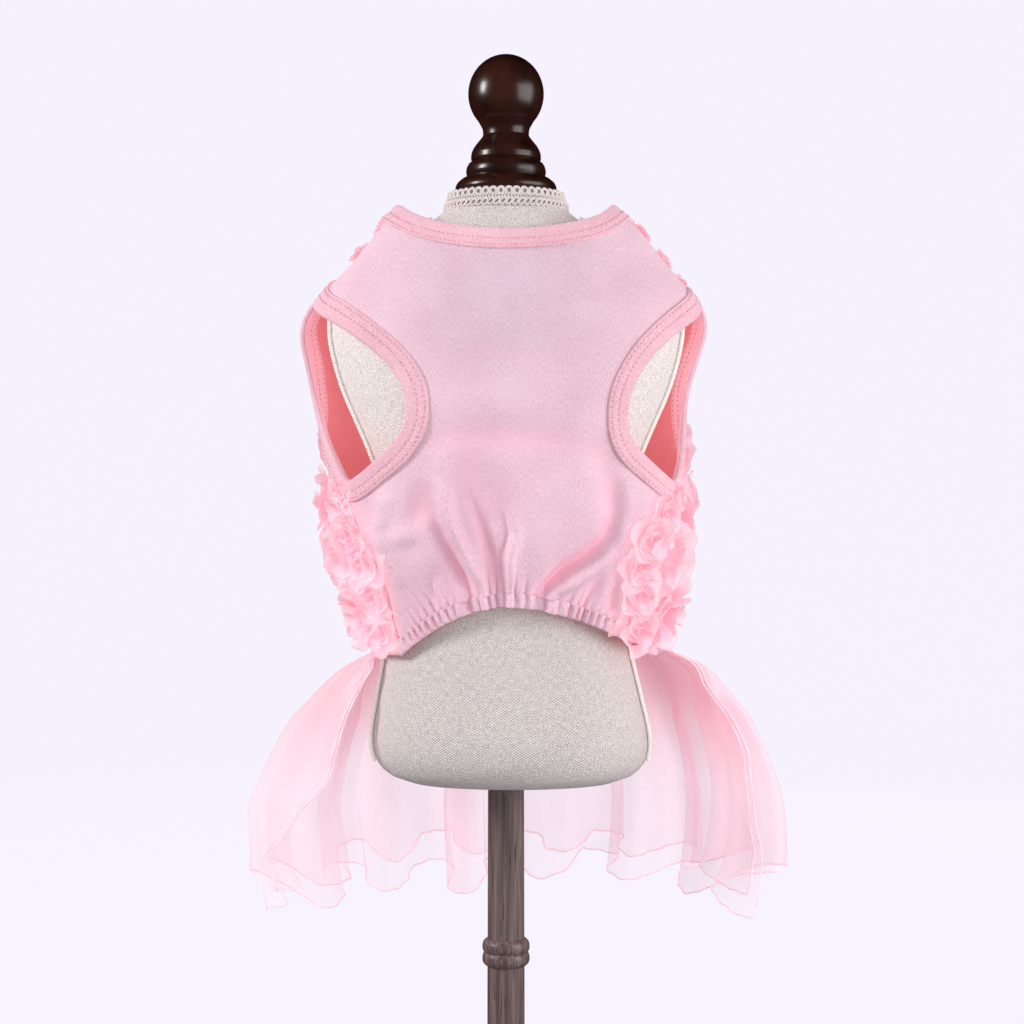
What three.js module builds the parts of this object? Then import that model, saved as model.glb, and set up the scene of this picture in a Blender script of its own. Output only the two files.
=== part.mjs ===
// A dog dress on a small limbless dress form. Millimetres, +Z up. The origin is under the pole, on
// the surface that the base stands on. The belly panel faces -Y, the rosettes and skirt face +Y.
import * as THREE from "three";

const { clamp, degToRad, lerp } = THREE.MathUtils;

// Driving dimensions.
const SEAM_GAP = 0.3;
const DEGREES_PER_MM = 0.6; // of turn round the dress, for one millimetre along its surface
const JERSEY = 1.2;
const ORGANZA = 1.0;
const BINDING = { width: 11, thickness: 0.9, legGap: 0.85, edgeGap: 0.7, spacing: 8 };
const PANEL_INSET = 1.8; // how far a panel's edge stays inside the fold of its binding
const CASING_THICKNESS = 2.4;
const NECK = { peak: 534, curve: 2.1 };
const HEM = { corner: 290, casingTop: 298, rightRise: 7, curve: 1.7 };
const BACK_CURVE = 2;
const BELLY_COLUMNS = 20;
const BACK_COLUMNS = 22;
const SKIRT = {
  columns: 40,
  length: 146,
  layerSpace: 1.3,
  seamDrop: 0.8,
  topReach: 108,
  hemReach: 97,
  flare: 4,
};
const ROSETTE = { sides: 8, gap: 0.45, height: 9, shoulder: 0.75, shoulderHeight: 6.5, hollow: 1.6 };
const BUST_SIDES = 48;
const SIDE_CORD = { width: 3, height: 1.6, low: 222.5, high: 527 };
const BRAID = { levels: [531.8, 533, 536.5, 540.3], thickness: 1.8 };
const TURNED_SIDES = 40;

// The dress form's bust: half-width and half-depth at each height.
const bustRings = [
  { z: 219, width: 56, depth: 41 },
  { z: 222.5, width: 66, depth: 49 },
  { z: 230, width: 73.5, depth: 55.5 },
  { z: 243, width: 76, depth: 58 },
  { z: 266, width: 72, depth: 55.5 },
  { z: 288, width: 67.5, depth: 52 },
  { z: 314, width: 63.5, depth: 48.5 },
  { z: 340, width: 62, depth: 47 },
  { z: 370, width: 65.5, depth: 49 },
  { z: 396, width: 73, depth: 52.5 },
  { z: 414, width: 80.5, depth: 56 },
  { z: 431, width: 88, depth: 58.8 },
  { z: 448, width: 93.5, depth: 59.8 },
  { z: 464, width: 96.5, depth: 58.9 },
  { z: 478, width: 95.5, depth: 55.4 },
  { z: 490, width: 90.5, depth: 50.8 },
  { z: 502, width: 80, depth: 45.6 },
  { z: 512, width: 66, depth: 40.7 },
  { z: 520, width: 52, depth: 36.7 },
  { z: 527, width: 39.5, depth: 33 },
  { z: 530, width: 35.6, depth: 31.9 },
  { z: 533, width: 33, depth: 31 },
  { z: 540.5, width: 30, depth: 30 },
];

// The dress's body surface: half-widths to the left and right, half-depths at the belly and back.
const dressRings = [
  { z: 284, left: 72, right: 74, belly: 54, back: 60 },
  { z: 300, left: 76, right: 84, belly: 54, back: 61 },
  { z: 320, left: 84, right: 91, belly: 56, back: 61.5 },
  { z: 345, left: 91, right: 94, belly: 60, back: 62 },
  { z: 370, left: 95, right: 95.5, belly: 62.5, back: 63 },
  { z: 394, left: 98, right: 96.5, belly: 63, back: 64 },
  { z: 413, left: 101, right: 97, belly: 63, back: 64.2 },
  { z: 433, left: 105.5, right: 99, belly: 62.6, back: 63.5 },
  { z: 450, left: 109, right: 104, belly: 61.6, back: 62.4 },
  { z: 462, left: 111.3, right: 107.8, belly: 60.2, back: 61.8 },
  { z: 470, left: 110.6, right: 108.8, belly: 58.9, back: 60.8 },
  { z: 478, left: 106.5, right: 106.5, belly: 57.1, back: 59 },
  { z: 486, left: 100, right: 101.5, belly: 54.7, back: 56.5 },
  { z: 494, left: 92.3, right: 94.8, belly: 51.8, back: 53.4 },
  { z: 503, left: 84, right: 87, belly: 48.3, back: 49.6 },
  { z: 513, left: 75.8, right: 79.2, belly: 44.4, back: 45.4 },
  { z: 524, left: 67, right: 70, belly: 40, back: 40.6 },
  { z: 534, left: 59, right: 58.5, belly: 35.5, back: 36 },
];

// The panels' sections from the hem up. Each has the height of its side edges, the heights of the
// belly panel's and the back panel's middles, and where the side edges lie in degrees from the
// centre front. The two panels share the side seam up to the armhole and the shoulder seam above it.
const sections = [
  { z: 290, belly: 316.5, back: 290, bellyLeft: 49, bellyRight: 51, backLeft: 49, backRight: 51 },
  { z: 298, belly: 324.5, back: 298, bellyLeft: 48.8, bellyRight: 49.5, backLeft: 48.8, backRight: 49.5 },
  { z: 308, belly: 333, back: 308, bellyLeft: 48.5, bellyRight: 46.5, backLeft: 48.5, backRight: 46.5 },
  { z: 322, belly: 343.5, back: 321, bellyLeft: 47.5, bellyRight: 43.5, backLeft: 47.5, backRight: 43.5 },
  { z: 337, belly: 354, back: 336, bellyLeft: 50, bellyRight: 43, backLeft: 50, backRight: 43 },
  { z: 351, belly: 364, back: 350, bellyLeft: 54.5, bellyRight: 48, backLeft: 54.5, backRight: 48 },
  { z: 366, belly: 374.5, back: 364.5, bellyLeft: 60, bellyRight: 58, backLeft: 60, backRight: 58 },
  { z: 381, belly: 385, back: 379, bellyLeft: 60.5, bellyRight: 70, backLeft: 60.5, backRight: 70 },
  { z: 386, belly: 389, back: 383.5, bellyLeft: 52, bellyRight: 61, backLeft: 64.5, backRight: 74.5 },
  { z: 392, belly: 394, back: 389.5, bellyLeft: 45, bellyRight: 53, backLeft: 68, backRight: 78 },
  { z: 404, belly: 404, back: 401, bellyLeft: 34.5, bellyRight: 42.5, backLeft: 76, backRight: 83 },
  { z: 416, belly: 414, back: 412.5, bellyLeft: 30, bellyRight: 40.3, backLeft: 82, backRight: 86 },
  { z: 428, belly: 424, back: 424, bellyLeft: 29.3, bellyRight: 41, backLeft: 86, backRight: 88 },
  { z: 441, belly: 434.5, back: 436, bellyLeft: 32.5, bellyRight: 44, backLeft: 88, backRight: 89 },
  { z: 454, belly: 445, back: 447.5, bellyLeft: 40, bellyRight: 49.5, backLeft: 89, backRight: 89 },
  { z: 464, belly: 453, back: 456, bellyLeft: 49, bellyRight: 57.5, backLeft: 89, backRight: 89 },
  { z: 470, belly: 458, back: 461, bellyLeft: 57.5, bellyRight: 66, backLeft: 89, backRight: 89 },
  { z: 474, belly: 461.5, back: 464, bellyLeft: 66, bellyRight: 73.5, backLeft: 89.5, backRight: 89.5 },
  { z: 477.5, belly: 464.5, back: 466.5, bellyLeft: 74, bellyRight: 80, backLeft: 89.5, backRight: 89.5 },
  { z: 480.5, belly: 467, back: 469, bellyLeft: 82, bellyRight: 85, backLeft: 90, backRight: 90 },
  { z: 484, belly: 470, back: 472, bellyLeft: 90, bellyRight: 90, backLeft: 90, backRight: 90 },
  { z: 491, belly: 476, back: 477.5, bellyLeft: 90, bellyRight: 90, backLeft: 90, backRight: 90 },
  { z: 500, belly: 484, back: 484.5, bellyLeft: 90, bellyRight: 90, backLeft: 90, backRight: 90 },
  { z: 511, belly: 494.5, back: 492, bellyLeft: 90, bellyRight: 90, backLeft: 90, backRight: 90 },
  { z: 521, belly: 503.5, back: 499, bellyLeft: 90, bellyRight: 90, backLeft: 90, backRight: 90 },
  { z: 528, belly: 509.5, back: 503.5, bellyLeft: 90, bellyRight: 90, backLeft: 90, backRight: 90 },
  { z: 534, belly: 515.5, back: 508, bellyLeft: 90, bellyRight: 90, backLeft: 90, backRight: 90 },
];
const ARMHOLE = { foot: 381, shoulder: 484 };

// The belly panel's largest folds: they rise from the hem, lean sideways and die out upwards.
const bellyFolds = [
  { foot: -44, head: -62, rise: 58, depth: 2.4, width: 6 },
  { foot: -30, head: -38, rise: 80, depth: 3.2, width: 7 },
  { foot: -14, head: -17, rise: 62, depth: 2.2, width: 6 },
  { foot: 2, head: 4, rise: 74, depth: 2.6, width: 6 },
  { foot: 16, head: 26, rise: 66, depth: 2.4, width: 6 },
  { foot: 32, head: 58, rise: 70, depth: 3.4, width: 8 },
  { foot: 50, head: 66, rise: 48, depth: 2.2, width: 6 },
];

// The skirt's folds round the back, from -1 at its right front edge to 1 at its left front edge.
const skirtFolds = [
  { across: -0.97, depth: 9, width: 0.06 },
  { across: -0.78, depth: 15, width: 0.075 },
  { across: -0.57, depth: 12, width: 0.07 },
  { across: -0.36, depth: 16, width: 0.07 },
  { across: -0.15, depth: 13, width: 0.065 },
  { across: 0.06, depth: 17, width: 0.075 },
  { across: 0.28, depth: 12, width: 0.07 },
  { across: 0.48, depth: 16, width: 0.075 },
  { across: 0.68, depth: 12, width: 0.065 },
  { across: 0.86, depth: 15, width: 0.07 },
];

// How far the skirt's hem reaches from the pole, the shares of its length at which its sections lie
// above the hem, and how each layer differs.
const SKIRT_HEM = { left: 132, right: 148, back: 116 };
const skirtFalls = [0, 0.07, 0.17, 0.34, 0.6];
const skirtLayers = [
  { name: "skirt_outer", side: 1, length: 1, reach: 1 },
  { name: "skirt_inner", side: -1, length: 0.88, reach: 0.93 },
];

// The rosettes' rows on the back panel: a row rises towards its ends by its rise.
const rosetteRows = [
  { z: 310.5, count: 8, pitch: 37, radius: 16.6, rise: 1 },
  { z: 342, count: 9, pitch: 36, radius: 16.6, rise: 1 },
  { z: 374.5, count: 8, pitch: 34.6, radius: 15.2, rise: -3.5 },
  { z: 406, count: 7, pitch: 35, radius: 16.4, rise: -1 },
  { z: 439, count: 6, pitch: 37, radius: 17.2, rise: 4 },
  { z: 471, count: 5, pitch: 38, radius: 17.2, rise: 16 },
];

// Turned wood: the radius at each height, from the bottom up.
const finialProfile = [
  { z: 540.8, radius: 0 },
  { z: 540.8, radius: 26.6 },
  { z: 543, radius: 28 },
  { z: 546, radius: 27.6 },
  { z: 548.5, radius: 23.5 },
  { z: 550, radius: 21.3 },
  { z: 552, radius: 21.8 },
  { z: 554.5, radius: 22 },
  { z: 557.5, radius: 20.8 },
  { z: 560, radius: 18.4 },
  { z: 561, radius: 19 },
  { z: 563, radius: 19.2 },
  { z: 565, radius: 17.6 },
  { z: 568, radius: 14.2 },
  { z: 572.3, radius: 12.6 },
  { z: 576, radius: 13 },
  { z: 580, radius: 15 },
];
const FINIAL_BALL = { centre: 596.4, radius: 20.8, height: 21.8, lowest: -48, steps: 12 };
const poleProfile = [
  { z: 24.3, radius: 0 },
  { z: 24.3, radius: 10.3 },
  { z: 117.5, radius: 10.2 },
  { z: 118.5, radius: 12 },
  { z: 121.5, radius: 13 },
  { z: 124.8, radius: 12.2 },
  { z: 128, radius: 13 },
  { z: 131, radius: 12 },
  { z: 132, radius: 10.1 },
  { z: 218.7, radius: 9.9 },
  { z: 218.7, radius: 0 },
];
const baseProfile = [
  { z: 0, radius: 0 },
  { z: 0, radius: 93 },
  { z: 2, radius: 95 },
  { z: 10, radius: 95 },
  { z: 14, radius: 91 },
  { z: 16, radius: 84 },
  { z: 18, radius: 30 },
  { z: 20, radius: 19 },
  { z: 24, radius: 16 },
  { z: 24, radius: 0 },
];

const finishes = {
  jersey: { color: 0xf2c6d8, roughness: 0.95, metalness: 0 },
  binding: { color: 0xfabbc6, roughness: 0.95, metalness: 0 },
  chiffon: { color: 0xffc3d7, roughness: 0.9, metalness: 0 },
  organza: { color: 0xf8dbe4, roughness: 0.6, metalness: 0, transparent: true, opacity: 0.6 },
  linen: { color: 0xd5cdc8, roughness: 0.95, metalness: 0 },
  braid: { color: 0xebe1dc, roughness: 0.85, metalness: 0 },
  darkWood: { color: 0x321916, roughness: 0.25, metalness: 0 },
  greyWood: { color: 0x5f4b4b, roughness: 0.6, metalness: 0 },
};

const dress = new THREE.Group();

// Adds a geometry to the dress as one named mesh with its own material.
function addMesh(name, geometry, finish) {
  const mesh = new THREE.Mesh(geometry, new THREE.MeshStandardMaterial(finishes[finish]));
  mesh.name = name;
  dress.add(mesh);
}

// A column of a table at a height, on a smooth curve through the table's rows.
function read(rows, column, z) {
  const last = rows.length - 1;
  const at = clamp(z, rows[0].z, rows[last].z);
  let i = 0;
  while (i < last - 1 && at > rows[i + 1].z) i += 1;
  const slope = (k) => {
    const below = rows[Math.max(k - 1, 0)];
    const above = rows[Math.min(k + 1, last)];
    return (above[column] - below[column]) / (above.z - below.z);
  };
  const span = rows[i + 1].z - rows[i].z;
  const t = (at - rows[i].z) / span;
  const rise = t * t * (3 - 2 * t);
  const bend = t * (1 - t) * span * (slope(i) * (1 - t) - slope(i + 1) * t);
  return lerp(rows[i][column], rows[i + 1][column], rise) + bend;
}

// A closed geometry from corner points and faces, turned so that its faces point outwards.
function closedGeometry(points, faces) {
  let volume = 0;
  for (const [a, b, c] of faces) {
    volume += points[a].dot(points[b].clone().cross(points[c]));
  }
  const outward = volume > 0 ? faces : faces.map(([a, b, c]) => [a, c, b]);
  const geometry = new THREE.BufferGeometry().setFromPoints(points);
  return geometry.setIndex(outward.flat());
}

// The two triangles of each square between two equal closed rows of points, given by their first
// indices.
function band(faces, first, second, count) {
  for (let j = 0; j < count; j += 1) {
    const next = (j + 1) % count;
    faces.push([first + j, first + next, second + next], [first + j, second + next, second + j]);
  }
}

// A solid through equal closed outlines, joined end to end or with its ends closed to a middle
// point each, which is the middle of the end outline where none is given.
function loft(outlines, ring, middles = []) {
  const count = outlines[0].length;
  const points = outlines.flat();
  const faces = [];
  for (let i = 0; i < outlines.length - 1; i += 1) {
    band(faces, i * count, (i + 1) * count, count);
  }
  const last = (outlines.length - 1) * count;
  if (ring) {
    band(faces, last, 0, count);
    return closedGeometry(points, faces);
  }
  [0, last].forEach((start, end) => {
    const middle = new THREE.Vector3();
    for (let j = 0; j < count; j += 1) middle.addScaledVector(points[start + j], 1 / count);
    points.push(middles[end] ?? middle);
    for (let j = 0; j < count; j += 1) {
      const pair = [start + ((j + 1) % count), start + j];
      faces.push([points.length - 1, ...(end === 0 ? pair : pair.reverse())]);
    }
  });
  return closedGeometry(points, faces);
}

// A wall of even thickness whose middle surface is a grid of points in rows.
function wall(grid, thickness) {
  const rows = grid.length;
  const count = grid[0].length;
  const near = (i, j) => grid[clamp(i, 0, rows - 1)][clamp(j, 0, count - 1)];
  const outlines = grid.map((row, i) => {
    const faceA = [];
    const faceB = [];
    row.forEach((point, j) => {
      const across = near(i, j + 1).clone().sub(near(i, j - 1));
      const up = near(i + 1, j).clone().sub(near(i - 1, j));
      const normal = across.cross(up).normalize();
      faceA.push(point.clone().addScaledVector(normal, thickness / 2));
      faceB.unshift(point.clone().addScaledVector(normal, -thickness / 2));
    });
    return [...faceA, ...faceB];
  });
  const faces = [];
  for (let i = 0; i < rows - 1; i += 1) {
    band(faces, i * 2 * count, (i + 1) * 2 * count, 2 * count);
  }
  for (const [i, turn] of [[0, 1], [rows - 1, -1]]) {
    const start = i * 2 * count;
    for (let j = 0; j < count - 1; j += 1) {
      const corners = [start + j, start + 2 * count - 1 - j, start + 2 * count - 2 - j, start + j + 1];
      const [a, b, c, d] = turn > 0 ? corners : corners.reverse();
      faces.push([a, b, c], [a, c, d]);
    }
  }
  return closedGeometry(outlines.flat(), faces);
}

// A point on an upright oval, at an angle in degrees from the centre front towards +X.
function ovalPoint(angle, z, halfWidth, halfDepth) {
  const turn = degToRad(angle);
  return new THREE.Vector3(halfWidth * Math.sin(turn), -halfDepth * Math.cos(turn), z);
}

// A point on the dress's body surface, and the way out of the dress there.
function bodice(angle, z) {
  const turn = degToRad(angle);
  const halfWidth = read(dressRings, Math.sin(turn) < 0 ? "left" : "right", z);
  const halfDepth = read(dressRings, Math.cos(turn) > 0 ? "belly" : "back", z);
  return ovalPoint(angle, z, halfWidth, halfDepth);
}

function bodiceNormal(angle, z) {
  const across = bodice(angle + 0.5, z).sub(bodice(angle - 0.5, z));
  const up = bodice(angle, z + 0.5).sub(bodice(angle, z - 0.5));
  return across.cross(up).normalize();
}

// The angle at which a point's upright plane meets the body surface.
function bodiceAngle(point) {
  const halfWidth = read(dressRings, point.x < 0 ? "left" : "right", point.z);
  const halfDepth = read(dressRings, point.y < 0 ? "belly" : "back", point.z);
  return THREE.MathUtils.radToDeg(Math.atan2(point.x / halfWidth, -point.y / halfDepth));
}

// The nearest body surface to a point, moved out by a height.
function onBodice(point, height) {
  const angle = bodiceAngle(point);
  const normal = bodiceNormal(angle, point.z);
  return bodice(angle, point.z).addScaledVector(normal, height);
}

function sideName(u) {
  return u < 0 ? "Left" : "Right";
}

// The height of a section at its side edge: the hem's right corner lies higher than its left.
function edgeHeight(section, u) {
  const low = clamp((ARMHOLE.foot - section.z) / (ARMHOLE.foot - HEM.casingTop), 0, 1);
  return section.z + (u > 0 ? HEM.rightRise * low ** 2 : 0);
}

// The back panel's lower edge, from which the skirt hangs, at an angle from the centre back.
function backHem(angle) {
  const edge = 180 - sections[0]["back" + sideName(angle)];
  return lerp(HEM.corner, edgeHeight(sections[0], angle), (angle / edge) ** BACK_CURVE);
}

// A panel as a grid of places on the body surface: a row for each of the given sections, which
// curves from its height in the middle to its height at the side edges. The topmost rows stay
// inside the fold of the neck binding.
function panelPlaces(side, rows, columns) {
  const front = side === "belly";
  return rows.map((row) => {
    const risen = (row.z - HEM.corner) / (NECK.peak - HEM.corner);
    const bound = row.z > ARMHOLE.foot && row.z < ARMHOLE.shoulder;
    const margin = (bound ? PANEL_INSET : SEAM_GAP) * DEGREES_PER_MM;
    const curve = front ? lerp(HEM.curve, NECK.curve, risen) : BACK_CURVE;
    return Array.from({ length: columns + 1 }, (_, j) => {
      const u = (2 * j) / columns - 1;
      const edge = row[side + sideName(u)];
      const reach = (front ? edge : 180 - edge) - margin;
      const sine = Math.sin(degToRad(Math.abs(u) * reach)) / Math.sin(degToRad(reach));
      const share = (front ? sine : Math.abs(u)) ** curve;
      const z = lerp(row[side], edgeHeight(row, u), share) - PANEL_INSET * risen ** 8;
      return { angle: front ? u * reach : 180 - u * reach, z };
    });
  });
}

// How far the belly panel's folds push it out at a point, above the hem's height there. The folds
// die out towards the side seams, which are at a share of 1 from the middle.
function foldHeight(point, hemHeight, share) {
  let height = 0;
  for (const fold of bellyFolds) {
    const risen = clamp((point.z - hemHeight) / fold.rise, 0, 1);
    const away = (point.x - lerp(fold.foot, fold.head, risen)) / fold.width;
    height += fold.depth * Math.cos((risen * Math.PI) / 2) ** 2 * Math.exp(-away * away);
  }
  return height * (1 - share ** 6);
}

// The belly panel is plain jersey, and ends in a casing that elastic gathers.
function addBelly() {
  const hem = panelPlaces("belly", sections.slice(0, 2), BELLY_COLUMNS);
  const places = panelPlaces("belly", sections.slice(1), BELLY_COLUMNS);
  const folded = ({ angle, z }, j) => {
    const point = bodice(angle, z);
    const share = Math.abs((2 * j) / BELLY_COLUMNS - 1);
    return point.addScaledVector(bodiceNormal(angle, z), foldHeight(point, hem[0][j].z, share));
  };
  addMesh("belly_panel", wall(places.map((row) => row.map(folded)), JERSEY), "jersey");
  const casingTop = hem[1].map(({ angle, z }) => ({ angle, z: z - SEAM_GAP }));
  const casing = [hem[0], casingTop].map((row) => row.map(folded));
  addMesh("belly_casing", wall(casing, CASING_THICKNESS), "jersey");
}

function addBack() {
  const places = panelPlaces("back", sections, BACK_COLUMNS);
  const grid = places.map((row) => row.map(({ angle, z }) => bodice(angle, z)));
  addMesh("back_panel", wall(grid, JERSEY), "jersey");
}

// A folded binding: a U section carried round a closed loop of edges, each a row of places on the
// panels' edges that starts where the one before it ends. The loop runs so that the cloth lies to
// its right, seen from outside the dress.
function addBinding(name, edges) {
  const path = edges.flatMap((places) => {
    const corners = places.map(({ angle, z }) => bodice(angle, z));
    const curve = new THREE.CatmullRomCurve3(corners, false, "centripetal");
    const steps = Math.round(curve.getLength() / BINDING.spacing);
    const closeAtEnds = (k) => (1 - Math.cos((Math.PI * k) / steps)) / 2;
    return Array.from({ length: steps }, (_, k) => curve.getPointAt(closeAtEnds(k)));
  });
  const inner = JERSEY / 2 + BINDING.legGap;
  const outer = inner + BINDING.thickness;
  const fold = -BINDING.edgeGap - BINDING.thickness;
  const profile = [
    [BINDING.width, outer],
    [fold, outer],
    [fold, -outer],
    [BINDING.width, -outer],
    [BINDING.width, -inner],
    [-BINDING.edgeGap, -inner],
    [-BINDING.edgeGap, inner],
    [BINDING.width, inner],
  ];
  const outlines = path.map((point, i) => {
    const next = path[(i + 1) % path.length];
    const along = next.clone().sub(path[(i + path.length - 1) % path.length]);
    const into = along.cross(bodiceNormal(bodiceAngle(point), point.z)).normalize();
    return profile.map(([reach, height]) => {
      return onBodice(point.clone().addScaledVector(into, reach), height);
    });
  });
  addMesh(name, loft(outlines, true), "binding");
}

function addNeckBinding() {
  const steps = 12;
  const edge = (front) =>
    Array.from({ length: steps + 1 }, (_, k) => {
      const angle = lerp(-90, 90, k / steps);
      const share = front ? Math.sin(degToRad(Math.abs(angle))) : Math.abs(angle) / 90;
      const middle = sections.at(-1)[front ? "belly" : "back"];
      const z = lerp(middle, NECK.peak, share ** (front ? NECK.curve : BACK_CURVE));
      return { angle: front ? angle : angle + 180, z };
    });
  addBinding("neck_binding", [edge(true), edge(false)]);
}

function addArmholeBinding(side) {
  const sign = side === "Left" ? -1 : 1;
  const rows = sections.filter((row) => row.z >= ARMHOLE.foot && row.z <= ARMHOLE.shoulder);
  const edge = (panel) => rows.map((row) => ({ angle: sign * row[panel + side], z: row.z }));
  const [up, down] = sign < 0 ? ["belly", "back"] : ["back", "belly"];
  addBinding("armhole_binding_" + side.toLowerCase(), [edge(up), edge(down).reverse()]);
}

// One layer of the skirt: it hangs from the back panel's lower edge, flares and falls in folds.
function addSkirt(layer) {
  const grid = [];
  for (const fall of [...skirtFalls, layer.length]) {
    const flare = 1 - (1 - fall) ** SKIRT.flare;
    const row = [];
    for (let j = 0; j <= SKIRT.columns; j += 1) {
      const across = (2 * j) / SKIRT.columns - 1;
      const angle = 180 + across * lerp(SKIRT.topReach, SKIRT.hemReach, fall);
      const topZ = backHem(-across * SKIRT.topReach) - SKIRT.seamDrop;
      const point = bodice(angle, topZ);
      point.addScaledVector(bodiceNormal(angle, topZ), layer.side * SKIRT.layerSpace);
      const halfWidth = across < 0 ? SKIRT_HEM.right : SKIRT_HEM.left;
      const hem = ovalPoint(angle, topZ, halfWidth * layer.reach, SKIRT_HEM.back * layer.reach);
      point.lerp(hem, flare);
      const outward = new THREE.Vector3(point.x, point.y, 0).normalize();
      for (const fold of skirtFolds) {
        const away = (across - fold.across) / fold.width;
        point.addScaledVector(outward, fold.depth * layer.reach * fall * Math.exp(-away * away));
      }
      point.z = topZ - SKIRT.length * fall;
      row.push(point);
    }
    grid.push(row);
  }
  addMesh(layer.name, wall(grid, ORGANZA), "organza");
}

// The angle from the centre back at an arc length round the back panel.
function backAngle(z, length) {
  const step = Math.sign(length);
  let angle = 0;
  let covered = 0;
  while (covered < Math.abs(length)) {
    const here = bodice(180 - angle, z);
    angle += step;
    covered += here.distanceTo(bodice(180 - angle, z));
  }
  return angle;
}

// One rosette as a low dome that follows the back panel.
function addRosette(name, angle, z, radius) {
  const centre = bodice(180 - angle, z);
  const normal = bodiceNormal(180 - angle, z);
  const across = new THREE.Vector3(0, 0, 1).cross(normal).normalize();
  const up = normal.clone().cross(across);
  const base = JERSEY / 2 + ROSETTE.gap;
  const place = (turn, reach, height) => {
    const point = centre.clone().addScaledVector(across, reach * Math.cos(turn));
    return onBodice(point.addScaledVector(up, reach * Math.sin(turn)), base + height);
  };
  const ring = (share, height) =>
    Array.from({ length: ROSETTE.sides }, (_, k) =>
      place((2 * Math.PI * k) / ROSETTE.sides, radius * share, height),
    );
  const outlines = [ring(1, 0), ring(ROSETTE.shoulder, ROSETTE.shoulderHeight)];
  const middles = [place(0, 0, ROSETTE.hollow), place(0, 0, ROSETTE.height)];
  addMesh(name, loft(outlines, false, middles), "chiffon");
}

function addRosettes() {
  rosetteRows.forEach((row, r) => {
    const half = ((row.count - 1) / 2) * row.pitch;
    for (let k = 0; k < row.count; k += 1) {
      const length = k * row.pitch - half;
      const z = row.z + row.rise * (length / half) ** 2;
      addRosette(`rosette_${r + 1}_${k + 1}`, backAngle(z, length), z, row.radius);
    }
  });
}

// The bust is a smooth oval block, covered in linen, with a flat top and underside.
function bustOutline(z, clearance) {
  const halfWidth = read(bustRings, "width", z) + clearance;
  const halfDepth = read(bustRings, "depth", z) + clearance;
  return Array.from({ length: BUST_SIDES }, (_, k) =>
    ovalPoint((360 * k) / BUST_SIDES, z, halfWidth, halfDepth),
  );
}

function addBust() {
  const outlines = bustRings.map((ring) => bustOutline(ring.z, 0));
  addMesh("form_bust", loft(outlines, false), "linen");
}

function addSideCord(name, sign) {
  const rings = bustRings.filter(({ z }) => z >= SIDE_CORD.low && z <= SIDE_CORD.high);
  const outlines = rings.map((ring) => {
    const side = sign * (read(bustRings, "width", ring.z) + SEAM_GAP);
    const half = SIDE_CORD.width / 2;
    return [
      new THREE.Vector3(side, -half, ring.z),
      new THREE.Vector3(side + sign * SIDE_CORD.height, -half / 2, ring.z),
      new THREE.Vector3(side + sign * SIDE_CORD.height, half / 2, ring.z),
      new THREE.Vector3(side, half, ring.z),
    ];
  });
  addMesh(name, loft(outlines, false), "braid");
}

function addNeckBraid() {
  const inner = BRAID.levels.map((z) => bustOutline(z, SEAM_GAP));
  const outer = BRAID.levels.map((z) => bustOutline(z, SEAM_GAP + BRAID.thickness));
  addMesh("form_neck_braid", loft([...outer, ...inner.reverse()], true), "braid");
}

// A turned piece of wood from its profile.
function addTurned(name, profile, finish) {
  const points = profile.map(({ radius, z }) => new THREE.Vector2(radius, z));
  const geometry = new THREE.LatheGeometry(points, TURNED_SIDES).rotateX(Math.PI / 2);
  addMesh(name, geometry, finish);
}

function finialWithBall() {
  const { centre, radius, height, lowest, steps } = FINIAL_BALL;
  const ball = Array.from({ length: steps + 1 }, (_, k) => {
    const turn = degToRad(lerp(lowest, 90, k / steps));
    return { z: centre + height * Math.sin(turn), radius: k === steps ? 0 : radius * Math.cos(turn) };
  });
  return [...finialProfile, ...ball];
}

addBust();
addSideCord("form_side_cord_left", -1);
addSideCord("form_side_cord_right", 1);
addNeckBraid();
addTurned("form_finial", finialWithBall(), "darkWood");
addTurned("form_pole", poleProfile, "greyWood");
addTurned("form_base", baseProfile, "greyWood");
addBelly();
addBack();
addNeckBinding();
addArmholeBinding("Left");
addArmholeBinding("Right");
skirtLayers.forEach(addSkirt);
addRosettes();

export default dress;
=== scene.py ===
"""A dog dress on a small limbless dress form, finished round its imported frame. Metres, +Z up."""
import math
import bmesh
import bpy
import numpy as np
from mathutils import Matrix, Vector


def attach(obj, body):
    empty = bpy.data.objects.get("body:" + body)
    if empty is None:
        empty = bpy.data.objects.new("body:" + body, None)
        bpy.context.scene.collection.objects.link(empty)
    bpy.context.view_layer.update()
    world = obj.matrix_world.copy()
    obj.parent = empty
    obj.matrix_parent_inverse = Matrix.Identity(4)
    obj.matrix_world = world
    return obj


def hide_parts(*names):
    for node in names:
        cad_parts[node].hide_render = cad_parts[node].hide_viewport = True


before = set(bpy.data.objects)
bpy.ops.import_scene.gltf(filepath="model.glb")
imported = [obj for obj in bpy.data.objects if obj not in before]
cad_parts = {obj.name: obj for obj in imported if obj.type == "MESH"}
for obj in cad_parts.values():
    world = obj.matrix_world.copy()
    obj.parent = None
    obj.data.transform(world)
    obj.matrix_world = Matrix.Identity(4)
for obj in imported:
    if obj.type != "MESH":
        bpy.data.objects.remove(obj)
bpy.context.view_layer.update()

# ---- The view and the stage ----
# The camera stands level with the dress's waist, square to the belly panel. The stage is a pale
# round floor whose rim curves up into a low wall, lit by a pale sky and seven soft lamps.
scene = bpy.context.scene
camera = bpy.data.objects.new("camera", bpy.data.cameras.new("camera"))
camera.data.lens = 73.8
camera.location = (0.0033, -1.155, 0.3666)
camera.rotation_euler = (math.radians(90), 0, 0)
scene.collection.objects.link(camera)
scene.camera = camera
scene.view_settings.view_transform = "Standard"

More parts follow.
